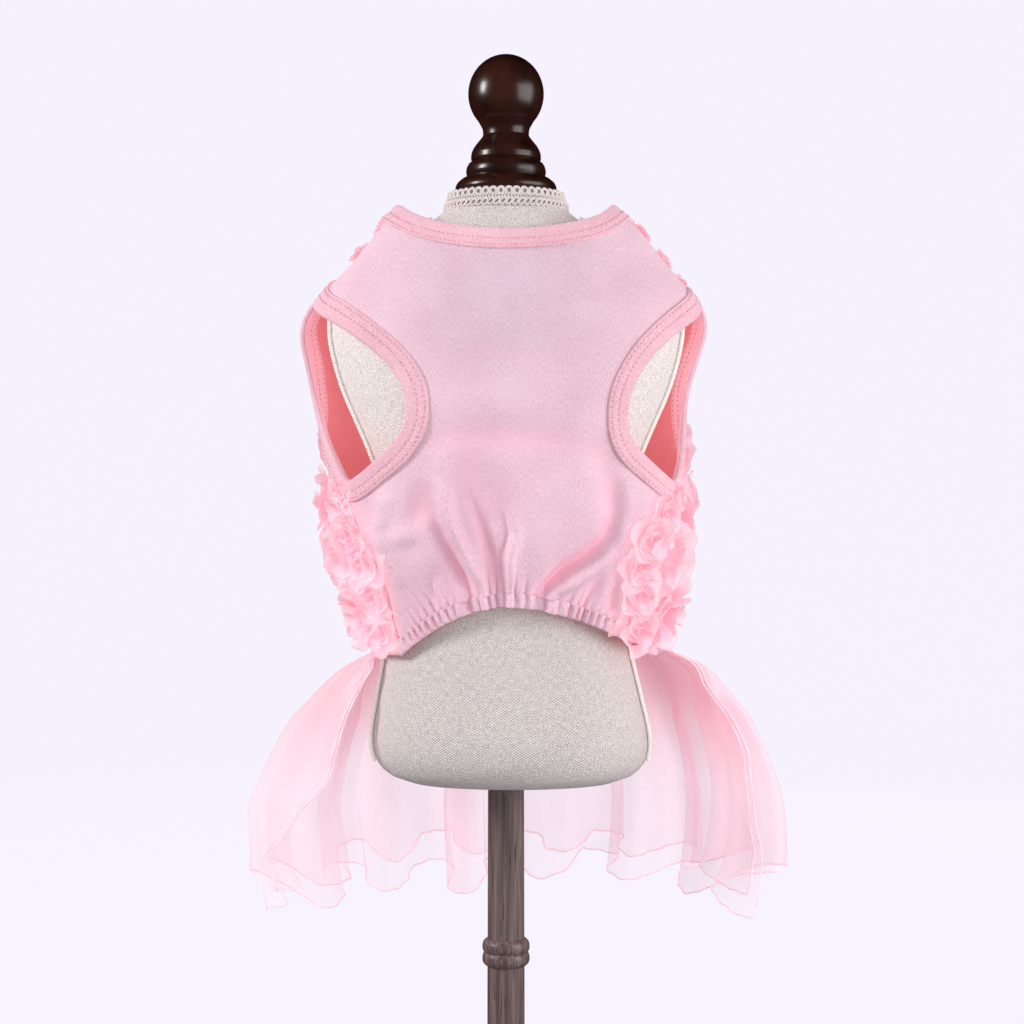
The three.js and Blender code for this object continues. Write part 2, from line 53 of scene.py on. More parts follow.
sky = bpy.data.worlds.new("sky")
sky.use_nodes = True
sky.node_tree.nodes["Background"].inputs["Color"].default_value = (0.96, 0.94, 1.0, 1)
sky.node_tree.nodes["Background"].inputs["Strength"].default_value = 0.42
sky.cycles_visibility.glossy = False  # only the lamps show in the lacquer
scene.world = sky

# Each lamp's place, size and power, and whether it shows in glossy surfaces.
LAMPS = {
    "key": ((-1.35, -0.4, 0.95), (0.3, 0.5), 18.5, True),
    "panel": ((1.35, -0.7, 0.62), (1.4, 1.1), 21.5, True),
    "front": ((0.0, -2.2, 0.6), (1.6, 0.9), 3.0, False),
    "top": ((0.05, -0.7, 1.45), (1.2, 0.8), 1, False),
    "bounce": ((0, -1.3, 0.1), (3.0, 0.3), 5, False),
    "rear": ((-0.5, 1.4, 1.3), (1.8, 1.0), 10, False),
    "low rear": ((0.9, 1.3, 0.5), (1.2, 0.8), 7, False),
}
LAMP_AIM = Vector((0, 0, 0.38))
for name, (place, size, watts, mirrored) in LAMPS.items():
    light = bpy.data.lights.new(name, "AREA")
    light.shape = "RECTANGLE"
    light.size, light.size_y = size
    light.energy = watts
    light.color = (1.0, 0.965, 0.94)
    holder = bpy.data.objects.new(name, light)
    holder.location = place
    holder.visible_glossy = mirrored
    holder.rotation_euler = (LAMP_AIM - holder.location).to_track_quat("-Z", "Y").to_euler()
    scene.collection.objects.link(holder)


def node(tree, kind, inputs=None, **settings):
    """Adds a node. Each input, by name or number, takes a value or another node's socket."""
    made = tree.nodes.new(kind)
    for name, value in settings.items():
        setattr(made, name, value)
    for name, value in (inputs or {}).items():
        if isinstance(value, bpy.types.NodeSocket):
            tree.links.new(value, made.inputs[name])
        else:
            made.inputs[name].default_value = value
    return made


def finish_of(name, colour, roughness, glow=None, **sockets):
    """A material with one principled shader; returns the material, its tree and the shader.

    The glow, in red, green, blue and strength, stands for light that comes through thin cloth.
    """
    made = bpy.data.materials.new(name)
    made.use_nodes = True
    shader = made.node_tree.nodes["Principled BSDF"]
    shader.inputs["Base Color"].default_value = (*colour, 1)
    shader.inputs["Roughness"].default_value = roughness
    if glow:
        shader.inputs["Emission Color"].default_value = (*glow[:3], 1)
        shader.inputs["Emission Strength"].default_value = glow[3]
    for socket, value in sockets.items():
        shader.inputs[socket.replace("_", " ")].default_value = value
    return made, made.node_tree, shader


def lathe(name, profile, sides):
    """A surface turned round the upright axis from (radius, height) pairs."""
    points, rings, faces = [], [], []
    for radius, height in profile:
        count = sides if radius > 0 else 1
        rings.append(range(len(points), len(points) + count))
        for k in range(count):
            turn = 2 * math.pi * k / sides
            points.append((radius * math.cos(turn), radius * math.sin(turn), height))
    for low, high in zip(rings, rings[1:]):
        for k in range(sides):
            after = (k + 1) % sides
            corners = (low[k % len(low)], low[after % len(low)])
            corners += (high[after % len(high)], high[k % len(high)])
            faces.append(tuple(dict.fromkeys(corners)))
    mesh = bpy.data.meshes.new(name)
    mesh.from_pydata(points, [], faces)
    mesh.shade_smooth()
    return mesh


STAGE = {"floor": 2.0, "bend": 0.6, "top": 1.6, "sides": 64}
bend = [math.radians(a) for a in range(0, 91, 10)]
rim = [(STAGE["floor"] + STAGE["bend"] * math.sin(a), STAGE["bend"] * (1 - math.cos(a))) for a in bend]
stage_profile = [(0, 0), *rim, (STAGE["floor"] + STAGE["bend"], STAGE["top"])]
stage = bpy.data.objects.new("stage", lathe("stage", stage_profile, STAGE["sides"]))
scene.collection.objects.link(stage)
stage_paint, _, _ = finish_of("stage paint", (0.02, 0.02, 0.02), 1.0, glow=(0.93, 0.90, 1.0, 0.975),
                              Specular_IOR_Level=0.0)
stage.data.materials.append(stage_paint)
stage.visible_diffuse = False  # the lamps and the sky light the form, not the glowing backdrop
stage.visible_glossy = False

# ---- The stand: base and pole ----
# A turned foot and a straight pole with one double bead, both of the same greyed brown wood with
# dark upright grain flecks and a worn satin finish. The pole is glued into the foot.
MM = 0.001  # sizes below are in millimetres, and become metres where a mesh is made


def smooth_profile(rows, steps=4):
    """Rows of (height, radius) with rounded stretches between rows marked as corners."""
    heights = [row[:2] for row in rows]
    corner = [len(row) > 2 for row in rows]
    made = []
    for i in range(len(rows) - 1):
        before = heights[i] if corner[i] or i == 0 else heights[i - 1]
        ahead = i + 1 if corner[i + 1] or i + 2 == len(rows) else i + 2
        a, b, c, d = (Vector(p) for p in (before, heights[i], heights[i + 1], heights[ahead]))
        for k in range(steps):
            t = k / steps
            curve = (c - a) * t + (2 * a - 5 * b + 4 * c - d) * t**2 + (3 * b - a - 3 * c + d) * t**3
            height, radius = b + curve / 2
            made.append((max(radius, 0) * MM, height * MM))
    height, radius = heights[-1]
    return [*made, (radius * MM, height * MM)]


def add_piece(name, mesh, materials, nodes=()):
    """Links a finished mesh as a piece that rides on the one body and stands for its nodes."""
    made = bpy.data.objects.new(name, mesh)
    scene.collection.objects.link(made)
    if not mesh.materials:
        for material in materials:
            mesh.materials.append(material)
    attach(made, "root")
    if nodes:
        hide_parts(*nodes)
    return made


def place_in(tree):
    """A point's place in the frame, for a material."""
    return node(tree, "ShaderNodeTexCoord").outputs["Object"]


def ways_of(tree, place):
    """The parts of a place along X, Y and Z."""
    return node(tree, "ShaderNodeSeparateXYZ", {0: place}).outputs


def calc(tree, operation, *values):
    """The result of a math node, from numbers or other nodes' sockets."""
    return node(tree, "ShaderNodeMath", dict(enumerate(values)), operation=operation).outputs[0]


def noise(tree, place, detail, scale):
    """Uneven tones. A scale of three numbers stretches them."""
    if isinstance(scale, tuple):
        place = node(tree, "ShaderNodeMapping", {"Vector": place, "Scale": scale}).outputs[0]
        scale = 1
    made = node(tree, "ShaderNodeTexNoise", {"Vector": place, "Scale": scale, "Detail": detail})
    return made.outputs["Fac"]


def remap(tree, value, low, high, start=0.0, end=1.0, **settings):
    """A value moved from its range between low and high to one between start and end."""
    ends = {"Value": value, 1: low, 2: high, 3: start, 4: end}
    return node(tree, "ShaderNodeMapRange", ends, **settings).outputs[0]


def mixed(tree, share, first, second, **settings):
    """A share of the second colour over the first. Either is a colour or a node's socket."""
    mix = node(tree, "ShaderNodeMix", {0: share}, data_type="RGBA", **settings)
    for name, colour in (("A", first), ("B", second)):
        if isinstance(colour, bpy.types.NodeSocket):
            tree.links.new(colour, mix.inputs[name])
        else:
            mix.inputs[name].default_value = (*colour, 1)
    return mix.outputs["Result"]


def surface(tree, shader, colour, height, strength, distance, invert=False):
    """Gives a shader its colour and the fine relief of its surface."""
    tree.links.new(colour, shader.inputs["Base Color"])
    relief = node(tree, "ShaderNodeBump", {"Strength": strength, "Distance": distance, "Height": height},
                  invert=invert)
    tree.links.new(relief.outputs[0], shader.inputs["Normal"])


def wood(name, dark, light, grain, roughness, coat, pores_from=0.6):
    """Turned wood: fine upright grain between two colours, with short dark pores."""
    made, tree, shader = finish_of(name, dark, roughness, Coat_Weight=coat, Coat_Roughness=0.12,
                                   Specular_IOR_Level=0.45)
    place = place_in(tree)
    figure = mixed(tree, remap(tree, noise(tree, place, 6, grain), 0.34, 0.68), dark, light)
    pores = noise(tree, place, 2, tuple(3 * g for g in grain))
    deep = remap(tree, pores, pores_from, pores_from + 0.08)
    flecked = mixed(tree, deep, figure, tuple(0.35 * c for c in dark))
    surface(tree, shader, flecked, deep, 0.35, 0.0002, invert=True)
    return made


grey_wood = wood("greyed wood", (0.085, 0.056, 0.056), (0.19, 0.135, 0.13), (420, 420, 14), 0.5, 0.15)
base_rows = [
    (0, 0, 1), (0, 93, 1), (0.6, 94.4), (2, 95), (9, 95), (12.5, 93.2), (15, 89), (16, 84, 1),
    (16.4, 70), (17.2, 40), (18.4, 27), (20, 20), (22.5, 16.6), (24, 16, 1), (24, 0, 1),
]
pole_rows = [
    (24.3, 0, 1), (24.3, 10.3, 1), (117.2, 10.2, 1), (117.8, 11.4), (119.4, 12.7), (121.5, 13),
    (123.6, 12.7), (124.8, 11.9, 1), (126, 12.7), (128, 13), (130.3, 12.6), (131.8, 11.4),
    (132.4, 10.1, 1), (218.7, 9.9, 1), (218.7, 0, 1),
]
for name, rows in (("form_base", base_rows), ("form_pole", pole_rows)):
    mesh = lathe(name + "_turned", smooth_profile(rows), 96)
    mesh.set_sharp_from_angle(angle=math.radians(40))
    add_piece(name + "_turned", mesh, [grey_wood], [name])

# ---- The bust ----
# A padded form under one smooth cover of undyed linen, cut in a front and a back half. The cover is
# pulled tight from the neck to the underside, and its slubby weave runs level and upright.
def table(columns, *rows):
    """A table of numbers, as one array for each of its named columns."""
    return dict(zip(columns.split(), np.array(rows, float).T))


bust_rings = table(
    "z width depth",
    (219, 56, 41), (222.5, 66, 49), (230, 73.5, 55.5), (243, 76, 58), (266, 72, 55.5), (288, 67.5, 52),
    (314, 63.5, 48.5), (340, 62, 47), (370, 65.5, 49), (396, 73, 52.5), (414, 80.5, 56),
    (431, 88, 58.8), (448, 93.5, 59.8), (464, 96.5, 58.9), (478, 95.5, 55.4), (490, 90.5, 50.8),
    (502, 80, 45.6), (512, 66, 40.7), (520, 52, 36.7), (527, 39.5, 33), (533, 33, 31), (540.5, 30, 30))


def read(rows, column, z):
    """A column of a table at any heights, on a smooth curve through the table's rows."""
    heights, values = rows["z"], rows[column]
    below, above = np.insert(heights[:-1], 0, heights[0]), np.append(heights[1:], heights[-1])
    before, after = np.insert(values[:-1], 0, values[0]), np.append(values[1:], values[-1])
    slopes = (after - before) / (above - below)
    at = np.clip(z, heights[0], heights[-1])
    i = np.clip(np.searchsorted(heights, at) - 1, 0, len(heights) - 2)
    span = heights[i + 1] - heights[i]
    t = (at - heights[i]) / span
    bend = t * (1 - t) * span * (slopes[i] * (1 - t) - slopes[i + 1] * t)
    return values[i] + (values[i + 1] - values[i]) * t * t * (3 - 2 * t) + bend


def oval_point(angle, z, half_width, half_depth):
    """Points on upright ovals, at angles in degrees from the centre front towards +X."""
    turn = np.radians(angle)
    x, y = half_width * np.sin(turn), -half_depth * np.cos(turn)
    return np.stack(np.broadcast_arrays(x, y, z), axis=-1)


def arc_lengths(points):
    """How far each point lies along its row, which is the last axis but one."""
    steps = np.linalg.norm(np.diff(points, axis=-2), axis=-1)
    return np.insert(np.cumsum(steps, axis=-1), 0, 0, axis=-1)


def cloth_mesh(name, grid, across, up, wraps=False, turns=False):
    """A mesh from rows of points in millimetres, with a uv map in metres of cloth.

    Seen from outside, a row's points run to the right, and the rows run up. A grid that wraps has
    its first column again at its end, and one that turns has its first row again at its end.
    """
    rows, columns = grid.shape[:2]
    high, wide = rows - turns, columns - wraps
    places = np.arange(rows * columns).reshape(rows, columns)
    corners = [places[:-1, :-1], places[:-1, 1:], places[1:, 1:], places[1:, :-1]]
    squares = np.stack(corners, axis=-1).reshape(-1, 4)
    row, column = np.divmod(squares, columns)
    mesh = bpy.data.meshes.new(name)
    points = MM * grid[:high, :wide].reshape(-1, 3)
    mesh.from_pydata(points.tolist(), [], ((row % high) * wide + column % wide).tolist())
    flat = [np.broadcast_to(length, (rows, columns)).ravel() for length in (across, up)]
    cloth = MM * np.stack(flat, axis=-1)[squares.ravel()]
    mesh.uv_layers.new(name="cloth").data.foreach_set("uv", cloth.ravel())
    mesh.shade_smooth()
    return mesh


def outward(mesh):
    """Turns a closed shell's faces outwards, where it was made inside out."""
    shell = bmesh.new()
    shell.from_mesh(mesh)
    if shell.calc_volume(signed=True) < 0:
        bmesh.ops.reverse_faces(shell, faces=shell.faces)
    shell.to_mesh(mesh)
    shell.free()
    return mesh


def cloth_of(tree):
    """A point's place on its flat cloth, for a material."""
    return node(tree, "ShaderNodeUVMap", uv_map="cloth").outputs[0]


def linen(name, pitch):
    """Plain weave of uneven undyed yarns. The pitch is from yarn to yarn, in metres."""
    made, tree, shader = finish_of(name, (0.62, 0.58, 0.545), 0.9, Sheen_Weight=0.1)
    place = cloth_of(tree)
    wander = node(tree, "ShaderNodeTexNoise", {"Vector": place, "Scale": 260, "Detail": 2})
    bent = node(tree, "ShaderNodeVectorMath", {0: wander.outputs["Color"], "Scale": 0.0012},
                operation="SCALE")
    yarns = node(tree, "ShaderNodeVectorMath", {0: place, 1: bent.outputs[0]}, operation="ADD")
    turns = (0.85 * math.pi / pitch, 1.25 * math.pi / pitch, 1)
    phase = node(tree, "ShaderNodeMapping", {"Vector": yarns.outputs[0], "Scale": turns})
    waves = node(tree, "ShaderNodeVectorMath", {0: phase.outputs[0]}, operation="SINE")
    ways = ways_of(tree, waves.outputs[0])
    slubs = [noise(tree, place, 3, (x / pitch, y / pitch, 1)) for x, y in ((0.95, 0.25), (0.25, 1.05))]
    weave = calc(tree, "MULTIPLY", ways[0], ways[1])
    lift = calc(tree, "MULTIPLY_ADD", weave, 0.55, calc(tree, "ADD", *slubs))
    shade = mixed(tree, remap(tree, lift, 0.4, 1.6), (0.38, 0.352, 0.335), (0.86, 0.815, 0.80))
    surface(tree, shader, shade, lift, 0.8, 0.0005)
    # A painted glow stands for daylight that reaches the linen through the thin jersey, in a band round
    # the armholes.
    place = place_in(tree)
    z = ways_of(tree, place)["Z"]
    low, high = remap(tree, z, 0.37, 0.41, 0.0, 0.28), remap(tree, z, 0.48, 0.505, 1.0, 0.0)
    painted_glow_strength = calc(tree, "MULTIPLY", low, high)
    tree.links.new(painted_glow_strength, shader.inputs["Emission Strength"])
    tree.links.new(shade, shader.inputs["Emission Color"])
    return made


BUST = {"levels": 96, "sides": 128, "turn_in": 0.4, "lean": 3.4, "upright_from": 330}


def bust_lean(z):
    """How far the foot of the form is stuffed over to the right."""
    fall = (BUST["upright_from"] - z) / (BUST["upright_from"] - bust_rings["z"][0])
    return BUST["lean"] * np.clip(fall, 0, 1) ** 1.4


def bust_point(angle, z, clearance=0.0):
    """Points on the form's cover, or off it by a clearance."""
    width, depth = read(bust_rings, "width", z), read(bust_rings, "depth", z)
    return oval_point(angle, z, width + clearance, depth + clearance)


bust_linen = linen("undyed linen", 0.00086)
levels = np.linspace(bust_rings["z"][0], bust_rings["z"][-1], BUST["levels"])[:, None]
angles = np.linspace(-90, 270, BUST["sides"] + 1)
bust_grid = bust_point(angles, levels)
bust_grid[..., 0] += bust_lean(levels)
climb = arc_lengths(bust_grid[:, 32])
girth = arc_lengths(bust_grid)
bust_across = girth - girth[:, -1:] / 4
# The cover turns in under the form and inside its neck, and closes to the middle there.
foot, neck = bust_grid[:1], bust_grid[-1:]
down = np.array((0, 0, BUST["turn_in"]))
inwards, middle = (0.9, 0.9, 1), (0, 0, 1)
bust_grid = np.concatenate([foot * middle - down, foot * inwards - down, bust_grid,
                            neck * inwards + down, neck * middle + down])
bust_across = np.concatenate([bust_across[:1]] * 2 + [bust_across] + [bust_across[-1:]] * 2)
bust_up = np.concatenate([[-60, -5], climb, climb[-1] + np.array([5, 30])])[:, None]
bust_mesh = cloth_mesh("form_bust_cover", bust_grid, bust_across, bust_up, wraps=True)
bust = add_piece("form_bust_cover", bust_mesh, [bust_linen], ["form_bust"])

# ---- The form's side trims and neck braid ----
# A narrow cream braid is sewn over each side seam of the cover, and a wider one with a row of
# loops at its top and bottom covers the joint between the cover and the finial.
# Each cord of a trim has its place across the tape, its height off it, and its twist.
TRIM = {"low": 232, "high": 526, "angle": 80, "width": 2.6, "pitch": 1.6,
        "cords": ((-0.9, 0.9, 0.6), (0.9, 0.9, -0.6), (0, 1.7, 0.6))}
NECK_BRAID = {"loops": 48, "high": 538.9, "low": 533.2, "cords": (536.9, 535.3)}


def growing_tree(name, sizes, build):
    """Geometry nodes that build real geometry from a source mesh, some named sizes and a finish."""
    tree = bpy.data.node_groups.new(name, "GeometryNodeTree")
    sockets = {"Source": "Geometry", **dict.fromkeys(sizes, "Float"), "Finish": "Material"}
    for label, kind in sockets.items():
        socket = tree.interface.new_socket(label, in_out="INPUT", socket_type="NodeSocket" + kind)
        if label in sizes:
            socket.default_value = sizes[label]
    tree.interface.new_socket("Geometry", in_out="OUTPUT", socket_type="NodeSocketGeometry")
    given = tree.nodes.new("NodeGroupInput").outputs
    real = node(tree, "GeometryNodeRealizeInstances", {0: build(tree, given)})
    done = node(tree, "GeometryNodeSetMaterial", {0: real.outputs[0], "Material": given["Finish"]})
    node(tree, "NodeGroupOutput", {0: done.outputs[0]})
    return tree


def mark(mesh, name, kind, values):
    """Gives each point of a mesh its own value of a named attribute."""
    stored = "vector" if kind == "FLOAT_VECTOR" else "value"
    mesh.attributes.new(name, kind, "POINT").data.foreach_set(stored, np.ravel(values))


def marked(tree, name, kind):
    """What mark() gave to the points, for geometry nodes."""
    return node(tree, "GeometryNodeInputNamedAttribute", {"Name": name}, data_type=kind).outputs[0]


def set_in_rows(tree, given, shape):
    """Sets a small shape at an even pitch along paths, facing off the cloth.

    The shape lies along X with its top towards Z. Slant turns all of them, and Sway turns them to
    one side and the other by turns.
    """
    curve = node(tree, "GeometryNodeMeshToCurve", {"Mesh": given["Source"]})
    even = node(tree, "GeometryNodeResampleCurve", {"Curve": curve.outputs[0], "Length": given["Pitch"]},
                mode="LENGTH")
    along = node(tree, "GeometryNodeInputTangent")
    facing = marked(tree, "facing", "FLOAT_VECTOR")
    seat = node(tree, "FunctionNodeAxesToRotation", {0: facing, 1: along.outputs[0]},
                primary_axis="Z", secondary_axis="X")
    count = node(tree, "GeometryNodeInputIndex").outputs[0]
    way = calc(tree, "MULTIPLY_ADD", calc(tree, "MODULO", count, 2.0), 2.0, -1.0)
    turn = calc(tree, "MULTIPLY_ADD", way, given["Sway"], given["Slant"])
    twist = node(tree, "ShaderNodeCombineXYZ", {"Z": turn})
    euler = node(tree, "FunctionNodeEulerToRotation", {0: twist.outputs[0]})
    turned = node(tree, "FunctionNodeRotateRotation", {0: seat.outputs[0], 1: euler.outputs[0]},
                  rotation_space="LOCAL")
    smooth = node(tree, "GeometryNodeSetShadeSmooth", {0: shape})
    placed = {"Points": even.outputs[0], "Instance": smooth.outputs[0], "Rotation": turned.outputs[0]}
    return node(tree, "GeometryNodeInstanceOnPoints", placed).outputs[0]


def ring_of(tree, sides, radius):
    """A round curve."""
    sizes = {"Resolution": sides, "Radius": radius}
    return node(tree, "GeometryNodeCurvePrimitiveCircle", sizes, mode="RADIUS").outputs[0]


def stitches(tree, given):
    """Rows of stitches: long beads of thread with rounded ends."""
    bead = node(tree, "GeometryNodeMeshUVSphere", {"Segments": 6, "Rings": 4, "Radius": 0.5})
    size = node(tree, "ShaderNodeCombineXYZ",
                {0: given["Length"], 1: given["Width"], 2: given["Height"]})
    stitch = node(tree, "GeometryNodeTransform", {0: bead.outputs[0], "Scale": size.outputs[0]})
    return set_in_rows(tree, given, stitch.outputs[0])


def loops_of_yarn(tree, given):
    """Rows of loops of yarn, lying flat."""
    size = node(tree, "ShaderNodeCombineXYZ", {0: given["Length"], 1: given["Width"], 2: 1.0})
    ring = node(tree, "GeometryNodeTransform", {0: ring_of(tree, 12, 0.5), "Scale": size.outputs[0]})
    section = ring_of(tree, 6, calc(tree, "MULTIPLY", given["Yarn"], 0.5))
    loop = node(tree, "GeometryNodeCurveToMesh", {0: ring.outputs[0], 1: section})
    return set_in_rows(tree, given, loop.outputs[0])


def paths_mesh(name, paths):
    """Open lines of points in millimetres, each with the way that its cloth faces."""
    mesh = bpy.data.meshes.new(name)
    starts = np.cumsum([0] + [len(points) for points, _ in paths])
    edges = [(i, i + 1) for a, b in zip(starts, starts[1:]) for i in range(a, b - 1)]
    mesh.from_pydata((MM * np.concatenate([points for points, _ in paths])).tolist(), edges, [])
    mark(mesh, "facing", "FLOAT_VECTOR", np.concatenate([normals for _, normals in paths]))
    return mesh


def grown(name, source, tree, finish, **sizes):
    """The mesh that a tree of geometry nodes makes from a source mesh, or from paths.

    Sizes are in metres.
    """
    if isinstance(source, list):
        source = paths_mesh(name, source)
    holder = bpy.data.objects.new(name, source)
    scene.collection.objects.link(holder)
    modifier = holder.modifiers.new(name, "NODES")
    modifier.node_group = tree
    for item in tree.interface.items_tree:
        if item.in_out == "INPUT" and item.name in sizes:
            modifier[item.identifier] = sizes[item.name]
        if item.name == "Finish":
            modifier[item.identifier] = finish
    settled = holder.evaluated_get(bpy.context.evaluated_depsgraph_get())
    mesh = bpy.data.meshes.new_from_object(settled)
    bpy.data.objects.remove(holder)
    mesh.name = name
    return mesh


def joined(name, meshes):
    """One mesh from several, each with its own place and material."""
    merged = bpy.data.meshes.new(name)
    points, faces, finishes, slots = [], [], [], []
    for mesh in meshes:
        start = len(points)
        points += [v.co[:] for v in mesh.vertices]
        for material in mesh.materials:
            if material not in finishes:
                finishes.append(material)
        for face in mesh.polygons:
            faces.append([start + i for i in face.vertices])
            slots.append(finishes.index(mesh.materials[face.material_index]))
    merged.from_pydata(points, [], faces)
    for material in finishes:
        merged.materials.append(material)
    merged.polygons.foreach_set("material_index", slots)
    merged.shade_smooth()
    return merged


def yarn(name, colour, roughness=0.8, sheen=0.3, **extras):
    """Spun thread: soft, with a fine uneven tone."""
    made, tree, shader = finish_of(name, colour, roughness, Sheen_Weight=sheen, **extras)
    place = place_in(tree)
    fuzz = noise(tree, place, 2, 1800)
    tones = [tuple(min(share * c, 1) for c in colour) for share in (0.72, 1.18)]
    surface(tree, shader, mixed(tree, fuzz, *tones), fuzz, 0.4, 0.0001)
    return made


cream = yarn("cream cotton yarn", (0.655, 0.61, 0.595))
row_sizes = {"Pitch": 3, "Slant": 0, "Sway": 0, "Length": 0.0025, "Width": 0.0006}
loop_row = growing_tree("loop row", {**row_sizes, "Yarn": 0.0008}, loops_of_yarn)
stitch_row = growing_tree("stitch row", {**row_sizes, "Height": 0.0004}, stitches)

# A paler copy of the cream yarn with a painted glow, as painted light on the side trims.
painted_bright_trim_yarn = yarn("side trim yarn", (0.84, 0.80, 0.77), glow=(1.0, 0.95, 0.92, 0.12))
for side, sign in (("left", -1), ("right", 1)):
    name = "form_side_cord_" + side
    z = np.linspace(TRIM["low"], TRIM["high"], 80)
    angle = sign * TRIM["angle"]
    line = bust_point(angle, z, 0.2)
    line[:, 0] += bust_lean(z)
    across = sign * (bust_point(angle, z) - bust_point(angle + sign, z))
    normals = np.cross(np.gradient(line, axis=0), across)
    normals *= np.sign(normals[:, :1]) * sign / np.linalg.norm(normals, axis=1)[:, None]
    half = TRIM["width"] / 2
    profile = [(-half, 0.0), (half, 0.0), (half * 0.6, 1.2), (-half * 0.6, 1.2), (-half, 0.0)]
    rows = [line - np.array((0, sign * reach, 0)) + normals * height for reach, height in profile]
    tape = cloth_mesh(name + "_tape", np.array(rows), 0, 0, turns=True)
    tape.materials.append(painted_bright_trim_yarn)
    parts = [tape]
    # Three twisted cords stand on the tape.
    for reach, height, slant in TRIM["cords"]:
        path = [(line + np.array((0, reach, 0)) + height * normals, normals)]
        parts.append(grown(name + "_cord", path, stitch_row, painted_bright_trim_yarn, Pitch=TRIM["pitch"] * MM,
                           Length=0.0024, Width=0.0011, Height=0.0013, Slant=slant))
    add_piece(name + "_braid", joined(name + "_braid", parts), [painted_bright_trim_yarn], [name])

around = np.linspace(180, 540, 97)
lapped = np.linspace(180, 546, 97)  # the braid's ends overlap behind


def neck_line(z, clearance, turn=lapped):
    """A ring round the form's neck and the way that it faces."""
    points = bust_point(turn, z, clearance)
    normals = points * (1, 1, 0)
    return points, normals / np.linalg.norm(normals, axis=1)[:, None]


def neck_row(level, clearance, tree, **sizes):
    """One row of loops or stitches round the neck."""
    return grown("neck_row", [neck_line(level, clearance)], tree, cream, **sizes)


turn_length = float(arc_lengths(neck_line(NECK_BRAID["high"], 1.1, around)[0])[-1])
loop = turn_length / NECK_BRAID["loops"] * MM
braid_parts = [
    neck_row(NECK_BRAID["high"], 1.1, loop_row, Pitch=loop, Length=0.0036, Width=0.0036, Yarn=0.0018),
    neck_row(NECK_BRAID["low"], 1.1, loop_row, Pitch=loop * 0.8, Length=0.0040, Width=0.0025,
             Yarn=0.0013, Slant=0.75),
]
for level, slant in zip(NECK_BRAID["cords"], (0.6, -0.6)):
    braid_parts.append(neck_row(level, 1.4, stitch_row, Pitch=0.0017, Length=0.0028, Width=0.0015,
                                Height=0.0018, Slant=slant))
# The tape behind the loops is painted dark, as painted shade in the gaps between them.
neck_tape = np.array([neck_line(z, 0.5, around)[0] for z in (532, 535.5, 540.2)])
tape = cloth_mesh("neck_tape", neck_tape, 0, 0, wraps=True)
tape.materials.append(yarn("braid backing painted as shade", (0.44, 0.41, 0.39)))
add_piece("form_neck_braid_loops", joined("form_neck_braid_loops", [*braid_parts, tape]), [cream],
          ["form_neck_braid"])

# ---- The finial ----
# A turned ball on a waisted neck and three stepped collars, stained espresso brown and lacquered
# to a hard gloss. It is screwed into the top of the form.
finial_rows = [
    (540.8, 0, 1), (540.8, 26.2, 1), (541.3, 26.8), (543.5, 27.8), (545.5, 27.6), (547.5, 26.4),
    (549.5, 24, 1), (550.8, 21.4, 1), (552.7, 21.9), (554, 21.9), (556, 21.5), (558, 20.4, 1),
    (559.3, 18.5, 1), (560.3, 19.2), (562, 19.2), (564, 18.9), (567, 17.5), (569.5, 15.6),
    (572, 13.6), (573.5, 12.6, 1), (577, 12.9), (580, 14.4), (582, 15.6),
]
FINIAL_BALL = {"centre": 596.4, "radius": 20.8, "height": 21.8, "lowest": -44}
ball_turns = [math.radians(a) for a in range(FINIAL_BALL["lowest"], 90, 4)]
ball_rows = [(FINIAL_BALL["centre"] + FINIAL_BALL["height"] * math.sin(a),
              FINIAL_BALL["radius"] * math.cos(a)) for a in ball_turns]
dark_wood = wood("espresso lacquer", (0.010, 0.0024, 0.0016), (0.040, 0.0100, 0.0055), (45, 45, 18),
                 0.28, 0.0, 0.9)
top = FINIAL_BALL["centre"] + FINIAL_BALL["height"]
finial_mesh = lathe("form_finial_turned", smooth_profile([*finial_rows, *ball_rows, (top, 0)]), 96)
finial_mesh.set_sharp_from_angle(angle=math.radians(50))
add_piece("form_finial_turned", finial_mesh, [dark_wood], ["form_finial"])

# ---- The back panel ----
# Pink cotton jersey, from the side seams round the back, with a straight hem over the skirt. Its
# wrong side is a deeper coral pink and shows through the armholes.
JERSEY = {"thickness": 1.1, "seam_sink": 1.0, "seam_width": 1.7, "wale": 1.05}
ARMHOLE = {"foot": 381, "shoulder": 484, "inset": 1.8}
HEM = {"corner": 290, "casing_top": 298, "right_rise": 7, "curve": 1.7}
NECK = {"peak": 534, "curve": 2.1}
BACK_CURVE = 2
DEGREES_PER_MM = 0.6
PINCH = {"depth": 8.5, "height": 436, "reach": 40, "turn": 0.17}
dress_rings = table(
    "z left right belly back",
    (284, 72, 74, 54, 60), (300, 76, 84, 54, 61), (320, 84, 91, 56, 61.5), (345, 91, 94, 60, 62),
    (370, 95, 95.5, 62.5, 63), (394, 98, 96.5, 63, 64), (413, 101, 97, 63, 64.2),
    (433, 105.5, 99, 62.6, 63.5), (450, 109, 104, 61.6, 62.4), (462, 111.3, 107.8, 60.2, 61.8),
    (470, 110.6, 108.8, 58.9, 60.8), (478, 106.5, 106.5, 57.1, 59), (486, 100, 101.5, 54.7, 56.5),
    (494, 92.3, 94.8, 51.8, 53.4), (503, 84, 87, 48.3, 49.6), (513, 75.8, 79.2, 44.4, 45.4),
    (524, 67, 70, 40, 40.6), (534, 59, 58.5, 35.5, 36))
